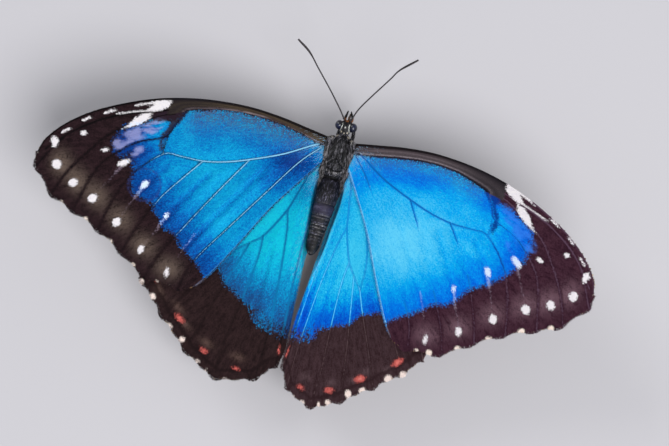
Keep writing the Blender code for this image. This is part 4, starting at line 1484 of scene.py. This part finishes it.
def body_skin(welded, region=None):
    """The closed skin, or an open source for the coat of one region."""
    y, wide, tall = skin_profile()
    sides = SKIN_SIDES + 1
    y2, a2 = np.meshgrid(y, np.linspace(-pi, pi, sides), indexing="ij")
    x, z = wide[:, None] * np.sin(a2), tall[:, None] * np.cos(a2)
    hollow = 1.0 - SKIN_HOLLOW * np.minimum(grooves(x, y2, z), 1.0)
    x, z = x * hollow, z * hollow
    lean = np.where(y2 > 4.0, np.sin(ABDOMEN_TURN) * (y2 - 4.0), 0.0)
    points = np.stack([x + lean, y2, z], axis=-1)
    along, around = (way / (np.linalg.norm(way, axis=-1)[..., None] + 1e-9)
                     for way in (np.gradient(points, axis=axis) for axis in (0, 1)))
    fall = 0.35 * np.sin(a2)[..., None] * (y2 < 4.5)[..., None]
    spread = np.stack([(a2 + pi) / (2 * pi), (y2 - y[0]) / (y[-1] - y[0]), 0 * y2], axis=-1)
    flat = points.reshape(-1, 3)
    values = {**body_marks(*flat.T), "spread": spread.reshape(-1, 3),
              "lie": unit(along + around * fall).reshape(-1, 3)}
    if region:
        masks = {"head": values["head"], "abdomen": values["abdomen"],
                 "thorax": 1.0 - values["head"] - smooth_step((flat[:, 1] - 6.6) / 2.4)}
        values["amount"] = values["amount"] * np.clip(masks[region], 0, 1)
    faces = grid_faces(len(y), sides, False)
    if welded:
        count = len(flat)
        faces += [tuple(reversed(range(sides - 1))), tuple(range(count - sides, count - 1))]
    return Shape().add(flat, faces, **values).build("body_skin", welded=welded)

# %% [markdown]
# ## Markings of the body
#
# The body is charcoal, with paler grey hair where the wings are hinged. The
# head has a white line along the inner edge of each eye, a white dot on the
# crown, and orange-brown hair between the feelers. The collar has small cream
# tufts, and the rings of the abdomen are edged with thin pale lines. The
# grooves of the thorax are painted near black as shade, and the raised rims
# and lobes between them pale grey as highlight.

# %% Body markings
EYE_CENTRE, EYE_HALF = (1.6, -7.5, 0.15), (0.95, 1.1, 1.2)
# y, how dark and how pale the line is
ABDOMEN_LINES = [(7.4, 0.35, 0.1), (10.8, 1, 0.2), (13.6, 0.4, 0.5), (14.3, 0.2, 0.35),
                 (15.9, 0.45, 0.75), (16.6, 0.3, 0.6), (17.5, 0.3, 0.35), (18.1, 0.4, 0.3),
                 (18.8, 0.2, 0.3), (19.5, 0.2, 0.25), (22.4, 0.3, 0.9)]


def bump_at(x, y, place, size):
    return np.exp(-((x - place[0]) ** 2 + (y - place[1]) ** 2) / size ** 2)


def body_marks(x, y, z):
    top = smooth_step(z / 0.6)
    mirror = np.abs(x)
    in_eye = sum(((value - centre) / half) ** 2
                 for value, centre, half in zip((mirror, y, z), EYE_CENTRE, EYE_HALF))
    rim = bell(in_eye - 1.5, 0.22) * smooth_step((y + 8.3) / 0.3) * top
    dot = bump_at(x, y, (0.0, -7.15), 0.2) * top
    collar = (bump_at(mirror, y, (0.7, -6.1), 0.2) + bump_at(mirror, y, (1.0, -5.2), 0.22)
              + bump_at(x, y, (0.0, -5.85), 0.15)) * top
    orange = smooth_step((-8.35 - y) / 0.2) * bell(x, 0.36)
    orange *= smooth_step((z + 0.3) / 0.5)
    hinge = bell(mirror - 2.35, 0.45) * smooth_step((y + 4.4) / 1.0)
    hinge *= smooth_step((4.4 - y) / 1.0) * smooth_step((z + 0.8) / 1.0)
    head = smooth_step((-5.8 - y) / 0.3)
    abdomen = smooth_step((y - 4.6) / 0.6)
    # Painted shade: the grooves of the thorax are painted near black
    furrow = np.clip(grooves(x, y, z), 0, 1)
    dark = furrow + 0.75 * smooth_step((y - 20.0) / 0.5) * smooth_step((22.5 - y) / 0.3)
    # Painted highlight: the raised rims, arms and lobes between the grooves are painted pale
    rear_rim = bell(y + 0.16 * x * x - 3.6, 0.17) * smooth_step((2.1 - mirror) / 0.4)
    arms = bell(mirror - 1.05 * (y - 0.1) - 0.44, 0.16) * smooth_step((y - 0.3) / 0.3)
    lobes = bell(mirror - 0.75, 0.42) * bell(y + 1.9, 1.7)
    ridge_highlights = (0.8 * rear_rim + 0.7 * arms * smooth_step((2.6 - y) / 0.4) + 0.4 * lobes) * top
    pale = 0.7 * hinge + ridge_highlights
    for place, blackness, light in ABDOMEN_LINES:
        dark = np.maximum(dark, blackness * bell(y - place, 0.22))
        pale = pale + light * bell(y - (place - 0.26), 0.1) * smooth_step((z + 1.0) / 1.5)
    dusk = bell(y - 12.0, 1.4) * top
    size = 1.0 - 0.5 * smooth_step((z - 0.6) / 0.8) * (1.0 - abdomen) * (1.0 - head)
    amount = np.where(in_eye < 1.05, 0.0, 1.0 - 0.75 * np.clip(np.maximum(furrow, dark), 0, 1))
    return {"white": np.clip(rim + dot, 0, 1), "cream": np.clip(collar, 0, 1),
            "orange": orange, "pale": np.clip(pale, 0, 1), "head": head, "abdomen": abdomen,
            "ringed": smooth_step((y - 10.0) / 1.0), "dusky": dusk,
            "dark": np.clip(dark, 0, 1), "size": size, "amount": amount}

# %% [markdown]
# ## The colour of the hair
#
# The hair isn't evenly black. Noise that is stretched along the body, and the
# random shade of every hair, choose between near black and pale grey; the
# palest grey is partly painted highlight. The marks are laid over that one by one.

# %% The hair finish
HAIR_RELIEF, HAIR_BUMP = 0.00006, 0.8


def hair_finish():
    """Charcoal hair and the skin below it, with the same markings."""
    material, tree, shader = painted("charcoal_hair", 0.5, 0.3)
    place, shade = object_place(tree), times(tree, attribute(tree, "shade"), 0.5)

    def tufts(stretch, scale, low, high):
        """Noise stretched one way, and its mix with the shade of each hair."""
        made = noise(tree, vector_maths(tree, "MULTIPLY", place, stretch), scale)
        return made, times(tree, ranged(tree, made, low, high), 0.5, shade)

    strands, random = tufts((1.0, 0.34, 1.0), 3000.0, 0.34, 0.66)
    _, rings = tufts((0.16, 1.0, 0.3), 2600.0, 0.3, 0.7)
    # Grey hairs; the palest stop is partly painted highlight, the gleam of glossy hair
    front = ramp(tree, random, [(0.18, (1, 1, 2)), (0.43, (10, 10, 13)), (0.67, (54, 53, 62)),
                                (0.92, (176, 172, 184))])
    tail = ramp(tree, mixed(tree, attribute(tree, "ringed"), random, rings),
                [(0.24, (2, 2, 4)), (0.5, (15, 14, 20)), (0.74, (44, 42, 56)),
                 (0.96, (118, 116, 138))])
    at = {name: attribute(tree, name) for name in
          ("abdomen", "dusky", "head", "pale", "dark", "orange", "cream", "white")}
    colour = layered(
        tree, front, (at["abdomen"], tail), (at["dusky"], (62, 56, 86), 0.5),
        (at["head"], (14, 14, 13), 0.7),
        (times(tree, at["pale"], ranged(tree, random, 0.25, 0.8)), (184, 180, 182)),
        (at["dark"], (4, 4, 5), 0.9),
        (ranged(tree, at["orange"], 0.3, 0.7), (176, 112, 58), 0.8),
        (ranged(tree, at["cream"], 0.35, 0.6), (206, 196, 178)),
        (ranged(tree, at["white"], 0.4, 0.65), (232, 234, 228)))
    wire(tree, colour, shader.inputs["Base Color"])
    bumped(tree, shader, strands, HAIR_RELIEF, HAIR_BUMP)
    return material

# %% [markdown]
# ## Hair and scales of the body
#
# Fine hair covers the head, longer hair the thorax, and flat scales the
# abdomen. Each region is grown on its own copy of the skin, on which the
# `amount` fades out beyond the region.

# %% The coat of the body
HAIR_FINISH = hair_finish()
skin = body_skin(True)
skin.data.materials.append(HAIR_FINISH)
ride(skin, "body_hair", "head", "thorax", "abdomen")

for seed, region in enumerate(("head", "thorax", "abdomen")):
    ground = body_skin(False, region)
    solid = SCALE_SOLID if region == "abdomen" else HAIR_SOLID
    hair = grow(region, region + "_coat", ground, solid, HAIR_FINISH, 40 + seed)
    discard(ground)
    ride(hair, "body_hair")

# %% [markdown]
# ## Eyes
#
# A butterfly's eye is a dome of thousands of tiny lenses. It is modelled as
# a smooth glossy dome, slightly longer than wide, and the lenses are a
# honeycomb bump too fine for the mesh.

# %% Eyes
EYE_SEGMENTS, EYE_RINGS = 48, 32
LENS_SCALE, LENS_RELIEF = 22000.0, 0.00002


def dome(centre, half):
    """A ball, longer than wide, as rings round the Z axis and two poles."""
    points = []
    for i in range(1, EYE_RINGS):
        tilt = pi * i / EYE_RINGS
        for k in range(EYE_SEGMENTS):
            turn = 2 * pi * k / EYE_SEGMENTS
            points.append((centre[0] + half[0] * sin(tilt) * cos(turn),
                           centre[1] + half[1] * sin(tilt) * sin(turn),
                           centre[2] + half[2] * cos(tilt)))
    faces = grid_faces(EYE_RINGS - 1, EYE_SEGMENTS)
    top, last = len(points), len(points) - EYE_SEGMENTS
    for k in range(EYE_SEGMENTS):
        j = (k + 1) % EYE_SEGMENTS
        faces += [(top, j, k), (top + 1, last + k, last + j)]
    points += [(*centre[:2], centre[2] + half[2]), (*centre[:2], centre[2] - half[2])]
    return points, faces


def eye_finish():
    material, tree, shader = painted("eye", 0.22, 0.5)
    place = object_place(tree)
    lenses = node(tree, "ShaderNodeTexVoronoi", Vector=place, Scale=LENS_SCALE)
    cloudy = ranged(tree, noise(tree, place, 900.0), 0.35, 0.7)
    wire(tree, mixed(tree, cloudy, (5, 6, 12), (14, 22, 52)), shader.inputs["Base Color"])
    shader.inputs["Coat Weight"].default_value = 0.25
    shader.inputs["Coat Roughness"].default_value = 0.1
    bumped(tree, shader, lenses.outputs["Distance"], LENS_RELIEF, 0.35)
    return material


EYE_FINISH = eye_finish()
for side, word in SIDES.items():
    shape = Shape().add(*dome((side * EYE_CENTRE[0], *EYE_CENTRE[1:]), EYE_HALF))
    ride(shape.build("eyeball_" + word, EYE_FINISH), "eye", "eye_" + word)

# %% [markdown]
# ## Palps and tongue
#
# Two hairy palps curve up in front of the face, and the tongue is coiled
# like a watch spring between them. The tongue is a tube with fine rings, so
# its radius simply swells and narrows along its length.

# %% Palps and tongue
PALP_PATH = [(0.84, -8.9, -1.45), (0.8, -9.7, -1.05), (0.58, -10.3, -0.2), (0.36, -10.85, 0.85)]
PALP_RADII = [0.2, 0.22, 0.17, 0.09]
COIL_CENTRE, COIL_OUTER, COIL_INNER, COIL_TURNS = (0.0, -9.9, -2.1), 1.35, 0.35, 1.2
TONGUE_RADIUS, TONGUE_RINGS, TONGUE_STEPS, TONGUE_SIDES = 0.2, 70, 420, 12
TONGUE_TAPER, RING_SWELL = 0.35, 0.07
CHITIN_RELIEF = 0.00004          # in metres, as all heights of bumps are


def chitin_finish(name, dark, light, gloss):
    material, tree, shader = painted(name, gloss, 0.5)
    grain = noise(tree, object_place(tree), 1800.0, 4.0)
    wire(tree, mixed(tree, ranged(tree, grain, 0.3, 0.75), dark, light),
         shader.inputs["Base Color"])
    bumped(tree, shader, grain, CHITIN_RELIEF, 0.5)
    return material


def coated_tube(name, path, radii, marks, sides=14, welded=True):
    """A tube whose points also say how a coat lies on it."""
    share = np.linspace(0.0, 1.0, len(path))
    along = unit(np.gradient(np.array([tuple(point) for point in path]), axis=0))
    points, faces = loft(tube_rings(path, radii, sides))
    spread = [((k + 0.5) / sides, 0.02 + 0.96 * part, 0.0) for part in share
              for k in range(sides)]
    values = {"lie": np.repeat(along, sides, axis=0), "spread": spread,
              "amount": np.ones(len(points)), "size": np.ones(len(points)),
              **{label: np.repeat(mark(share), sides) for label, mark in (marks or {}).items()}}
    return Shape().add(points, faces, **values).build(name, welded=welded)


def furry(kind, side, slot, corners, radii, seed, steps=8, marks=None, nodes=()):
    """A tube along a path on one side of the body, and the hair that grows on it."""
    path = smooth_curve([(side * x, y, z) for x, y, z in corners], steps)
    widths = np.interp(np.linspace(0, len(radii) - 1, len(path)), range(len(radii)), radii)
    tube = coated_tube(f"{kind}_skin_{SIDES[side]}", path, widths, marks)
    tube.data.materials.append(HAIR_FINISH)
    fur = grow(kind, f"{kind}_hair_{SIDES[side]}", tube, HAIR_SOLID, HAIR_FINISH, seed)
    ride(tube, slot, *nodes)
    ride(fur, slot)


for side, word in SIDES.items():
    furry("palp", side, "body_hair", PALP_PATH, PALP_RADII, 50 + side, steps=10,
          nodes=["palp_" + word], marks={"orange": lambda share: 0.8 * (share < 0.3),
                                         "head": lambda share: 0.8 + 0 * share})

tongue_path, tongue_radii = [], []
for i in range(TONGUE_STEPS + 1):
    share = i / TONGUE_STEPS
    reach = COIL_OUTER + (COIL_INNER - COIL_OUTER) * share
    angle = pi / 2 - 2 * pi * COIL_TURNS * share
    x, y, z = COIL_CENTRE
    tongue_path.append((x, y + reach * cos(angle), z + reach * sin(angle)))
    tongue_radii.append(TONGUE_RADIUS * (1.0 - TONGUE_TAPER * share)
                        * (1.0 + RING_SWELL * cos(2 * pi * TONGUE_RINGS * share)))
shape = Shape().add(*loft(tube_rings(tongue_path, tongue_radii, TONGUE_SIDES)))
TONGUE_FINISH = chitin_finish("tongue", (30, 20, 14), (92, 62, 40), 0.3)
ride(shape.build("tongue", TONGUE_FINISH), "proboscis", "proboscis")

# %% [markdown]
# ## Where the wings are hinged
#
# Long fur hides each hinge. A furry ridge runs from the front edge of the
# forewing back to the waist, and fine pale hairs lie over the wing roots and
# along the inner margin of the hindwings.

# %% Wing hinges
HINGE_PATH = [(1.9, -4.6, 1.25), (2.45, -3.9, 1.5), (2.7, -2.8, 1.5), (2.8, -1.4, 1.25),
              (2.9, 0.4, 0.9), (2.9, 2.2, 0.5), (2.7, 3.7, 0.4), (2.4, 5, 0.3), (2.35, 6.4, 0.2),
              (2.2, 8.2, 0)]
HINGE_RADII = [0.2, 0.5, 0.6, 0.5, 0.42, 0.4, 0.4, 0.42, 0.34, 0.1]
HINGE_PALE = {1: 0.55, -1: 0.3}
FUZZ_REACH = 3.6


def hinge(side):
    """A furry ridge; its hair turns paler behind a pale and a cream tuft."""
    pale = HINGE_PALE[side]
    marks = {"pale": lambda share: (pale * smooth_step((share - 0.2) / 0.1)
                                    + bell(share - 0.1, 0.02)),
             "cream": lambda share: 0.7 * bell(share - 0.06, 0.012),
             "abdomen": lambda share: smooth_step((share - 0.65) / 0.1)}
    furry("hinge", side, "body_hair", HINGE_PATH, HINGE_RADII, 80 + side, marks=marks)


def fuzz(wing, finish):
    """Long pale hairs over the root and the inner margin of a wing."""
    flat, points = wing.flat.reshape(-1, 2), wing.sheet(SHEET_HALF)
    root = bell(np.hypot(flat[:, 0], flat[:, 1] - 1.0), FUZZ_REACH)
    margin = 0.0 if wing.fore else (
        bell(wing.marks["inner"], 1.9) * smooth_step((29.0 - flat[:, 1]) / 6.0))
    ground = source(points, wing.quads(points, True), {
        "amount": np.clip(root + margin, 0, 1), "pale": 0.95 + 0 * root,
        "size": 0.6 + 0.4 * root, "lie": wing.lie(flat), "spread": unwrapped(flat)})
    hairs = grow("fuzz", "fuzz_" + wing.name, ground, HAIR_SOLID, finish, 90)
    discard(ground)
    ride(hairs, "body_hair")


fuzz_finish, tree, shader = painted("wing_fuzz", 0.5, 0.2)
wire(tree, mixed(tree, attribute(tree, "shade"), (60, 124, 176), (190, 220, 236)),
     shader.inputs["Base Color"])
for side in SIDES:
    hinge(side)
for wing in wings:
    fuzz(wing, fuzz_finish)

# %% [markdown]
# ## Feelers
#
# Each feeler is a chain of some forty short joints that ends in a slim club.
# A chain along a path is a natural use of Geometry Nodes: one bead is set on
# every step of the path, turned along it, and scaled by the path's radius.

# %% The bead tree
BEAD_SECTIONS = [(0.75, -0.56), (1.7, -0.42), (2.0, 0.1), (2.15, 0.46), (1.2, 0.56)]
BEAD_SIDES = 10


def bead_tree():
    tree, given = new_group("Beads", "Chain", Path="Geometry", Bead="Object",
                            Finish="Material", Count="Int")
    curve = node(tree, "GeometryNodeMeshToCurve", Mesh=given["Path"])
    even = node(tree, "GeometryNodeResampleCurve", Curve=curve.outputs[0],
                Count=given["Count"]).outputs[0]
    tangent = node(tree, "GeometryNodeInputTangent").outputs[0]
    turn = node(tree, "FunctionNodeAlignRotationToVector", {"axis": "Z"}, Vector=tangent)
    length = node(tree, "GeometryNodeCurveLength", Curve=even).outputs[0]
    pitch = maths(tree, "DIVIDE", length, maths(tree, "SUBTRACT", given["Count"], 1.0))
    real = copies_on(tree, even, given["Bead"], turn.outputs[0], named(tree, "thickness"), pitch)
    return end_group(tree, real, given["Finish"])


BEADS = bead_tree()
bead_rings = [ring(BEAD_SIDES, *section) for section in BEAD_SECTIONS]
BEAD_SOLID = pattern("bead_pattern", *loft(bead_rings),
                     [(y, along - 0.5, 0.0) for _, along in BEAD_SECTIONS
                      for _, y, _ in ring(BEAD_SIDES, 1.0, 0.0)])
BEAD_SOLID.data.shade_smooth()
print("a bead has %d faces" % len(BEAD_SOLID.data.polygons))

# %% [markdown]
# ## The two chains
#
# The feelers point forwards and a little up, each bent in its own way. The
# path's radius is even, with a thicker first joint, and swells into the club
# by half a wave of a sine.

# %% Feelers
FEELERS = {1: [(0.85, -9, 1.2), (2.5, -11.1, 1.8), (5.5, -14.5, 2.6), (9, -18.2, 3.2),
               (12, -21.4, 3.5), (15.1, -23.5, 3.6)],
           -1: [(-0.85, -9, 1.2), (-1.9, -11.7, 1.8), (-3.9, -14.9, 2.6), (-7.2, -19.9, 3.2),
                (-8.8, -22.4, 3.5), (-12.1, -25.5, 3.6)]}
FEELER_RADIUS, CLUB_RADIUS, FEELER_JOINTS = 0.17, 0.27, 46
FEELER_FINISH = chitin_finish("feeler", (16, 12, 16), (50, 40, 44), 0.45)


def chain(name, path, thickness):
    """Beads along a path, each as thick as the path is there."""
    mesh = bpy.data.meshes.new(name)
    mesh.from_pydata([HOME + Vector(point) * MM for point in path],
                     [(i, i + 1) for i in range(len(path) - 1)], [])
    store(mesh, "thickness", np.array(thickness) * MM)
    line = linked("path", mesh)
    beads = made_real(name, line, BEADS, Bead=BEAD_SOLID, Finish=FEELER_FINISH,
                      Count=FEELER_JOINTS)
    discard(line)
    return beads


for side, points in FEELERS.items():
    path = smooth_curve(points, 8)
    share = shares_of_length(path)
    club = np.sin(pi * np.clip((share - 0.74) / 0.31, 0.0, 1.0))
    base = 0.5 * bell(share, 0.02)
    thickness = FEELER_RADIUS * (1 + base) + (CLUB_RADIUS - FEELER_RADIUS) * club
    ride(chain("feeler_" + SIDES[side], path, thickness), "antenna", "antenna_" + SIDES[side])

# %% [markdown]
# ## Legs
#
# A brush-footed butterfly stands on four legs and keeps the small front pair
# folded against its chest. A walking leg is one skin here: a stout thigh, a
# thinner shin, and a foot of five joints with two claws.

# %% Legs
LEG_SECTIONS = {"midleg": [(1.5, -0.8, -2.9), (2.5, -1.3, -4.3), (7.6, -3.2, -3.9),
                           (10.6, -4.1, FLOOR + 2), (11.5, -4.3, FLOOR), (15.8, -5, FLOOR)],
                "hindleg": [(1.4, 2, -2.85), (2.2, 3, -4.3), (7.2, 8.4, -4.3),
                            (9.8, 14.5, FLOOR + 2), (10.3, 16.2, FLOOR), (11.4, 21, FLOOR)]}
FORELEG = [(1.2, -3.9, -2.75), (1.7, -5.6, -3.7), (1.5, -7.6, -3.3), (1.3, -8.4, -2.4)]
FORELEG_RADII = (0.28, 0.32, 0.24, 0.12)
LEG_PARTS, LEG_SIDES, CLAW_SIDES, CLAW_STEPS = ("femur", "tibia", "tarsus"), 12, 8, 8
# Radii along each stretch from the body to the ball of the foot, and its steps
LEG_STRETCHES = [((0.36, 0.4), 4), ((0.38, 0.41, 0.38, 0.27), 14),
                 ((0.27, 0.31, 0.28, 0.24), 12), ((0.22, 0.2), 3)]
FOOT_RADIUS, FOOT_JOINTS, JOINT_STEPS = 0.24, 5, 6
JOINT_RADII = (0.17, 0.21, FOOT_RADIUS, 0.2)
CLAW_LENGTH, CLAW_BEND, CLAW_ARCH = 0.75, 0.8, 0.12
CLAW_GAP, CLAW_SPREAD, CLAW_RADIUS, CLAW_TIP = 0.1, 0.28, 0.09, 0.02
LEG_FINISH = chitin_finish("leg", (22, 18, 17), (64, 54, 48), 0.5)


def leg_path(points, side):
    """Centres and radii from the hip to the last joint of the foot."""
    corners = [Vector((side * x, y, z)) for x, y, z in points]
    for corner in corners[4:]:
        corner.z += FOOT_RADIUS
    ball, toe = corners[4:]
    path, radii = corners[:1], [LEG_STRETCHES[0][0][0]]

    def reach(start, end, widths, steps):
        for i in range(1, steps + 1):
            path.append(start.lerp(end, i / steps))
            radii.append(float(np.interp(i / steps, np.linspace(0, 1, len(widths)), widths)))

    for start, end, (widths, steps) in zip(corners, corners[1:], LEG_STRETCHES):
        reach(start, end, widths, steps)
    for i in range(FOOT_JOINTS):
        start, end = ball.lerp(toe, i / FOOT_JOINTS), ball.lerp(toe, (i + 1) / FOOT_JOINTS)
        reach(start, end, JOINT_RADII, JOINT_STEPS)
    return path, radii


def claws(toe, ahead, shape):
    """Two curved claws that reach from the toe down to the floor."""
    across = Vector((-ahead.y, ahead.x, 0.0)).normalized()
    for side in (1, -1):
        path, radii = [], []
        for i in range(CLAW_STEPS + 1):
            share = i / CLAW_STEPS
            place = toe + ahead * CLAW_LENGTH * CLAW_BEND * sin(share * pi / 2)
            place += across * side * (CLAW_GAP + CLAW_SPREAD * share)
            place.z = toe.z + CLAW_ARCH * sin(pi * share) - (toe.z - FLOOR - 0.05) * share ** 2
            path.append(place)
            radii.append(CLAW_RADIUS * (1 - share) + CLAW_TIP)
        shape.add(*loft(tube_rings(path, radii, CLAW_SIDES)))


def above_floor(piece):
    """Nothing reaches below the floor that the feet stand on."""
    places = np.zeros(len(piece.data.vertices) * 3)
    piece.data.vertices.foreach_get("co", places)
    places[2::3] = np.maximum(places[2::3], 0.0)
    piece.data.vertices.foreach_set("co", places)

# %% [markdown]
# ## Building the legs
#
# The skin and the claws are one mesh, and fine bristles grow on the skin,
# fewer and shorter ones on the foot. Whatever would reach below the floor is
# lifted up to it.

# %% The six legs
def leg(kind, side):
    """One walking leg: its skin with the claws, and its bristles."""
    word = SIDES[side]
    path, radii = leg_path(LEG_SECTIONS[kind], side)
    high = smooth_step((np.array([point.z for point in path]) - FLOOR - 0.4) / 1.4)
    marks = {"size": lambda share: 0.4 + 0.6 * high, "amount": lambda share: 0.5 + 0.5 * high}
    ground = coated_tube("source", path, radii, marks, sides=LEG_SIDES, welded=False)
    bristles = grow("leg", f"{kind}_hair_{word}", ground, HAIR_SOLID, LEG_FINISH, 60)
    discard(ground)
    shape = Shape().add(*loft(tube_rings(path, radii, LEG_SIDES)))
    claws(path[-1], (path[-1] - path[-4]).normalized(), shape)
    piece = shape.build(f"{kind}_skin_{word}", LEG_FINISH)
    above_floor(bristles)
    above_floor(piece)
    ride(piece, "leg", *(f"{kind}_{part}_{word}" for part in LEG_PARTS))
    ride(bristles, "leg")


for side, word in SIDES.items():
    for kind in LEG_SECTIONS:
        leg(kind, side)
    furry("foreleg", side, "leg", FORELEG, FORELEG_RADII, 70, nodes=["foreleg_" + word])
discard(SCALE_SOLID, HAIR_SOLID, BEAD_SOLID)

# %% [markdown]
# ## The light and the floor
#
# A pale floor and large soft lights show the colours without hard shadows.
# One broad light stands over the right wings, whose scales are also painted
# paler, and a weaker one fills the shaded side.

# %% Floor and lights
FLOOR_SIZE = 6.0                 # this and the lights are in metres
half = FLOOR_SIZE / 2
floor_mesh = bpy.data.meshes.new("floor")
floor_mesh.from_pydata([(-half, -half, 0.0), (half, -half, 0.0), (half, half, 0.0),
                        (-half, half, 0.0)], [], [(0, 1, 2, 3)])
floor_material, _, floor_shader = painted("pale_floor", 0.9, 0.2)
floor_shader.inputs["Base Color"].default_value = rgb(186, 184, 188)
floor_mesh.materials.append(floor_material)
linked("floor", floor_mesh)


def area_light(name, place, size, power):
    data = bpy.data.lights.new(name, "AREA")
    data.shape, data.size, data.energy = "DISK", size, power
    light = linked(name, data)
    light.location = Vector(place)
    light.rotation_euler = (-Vector(place)).to_track_quat("-Z", "Y").to_euler()


area_light("broad_light", (-0.45, 0.35, 0.9), 0.7, 11.0)
area_light("fill_light", (0.7, -0.5, 0.7), 0.6, 4.0)
world = bpy.data.worlds.new("studio")
bpy.context.scene.world = world
world.use_nodes = True
sky = world.node_tree.nodes["Background"].inputs
sky["Color"].default_value = rgb(232, 236, 242)
sky["Strength"].default_value = 0.5
bpy.context.scene.view_settings.view_transform = "Standard"
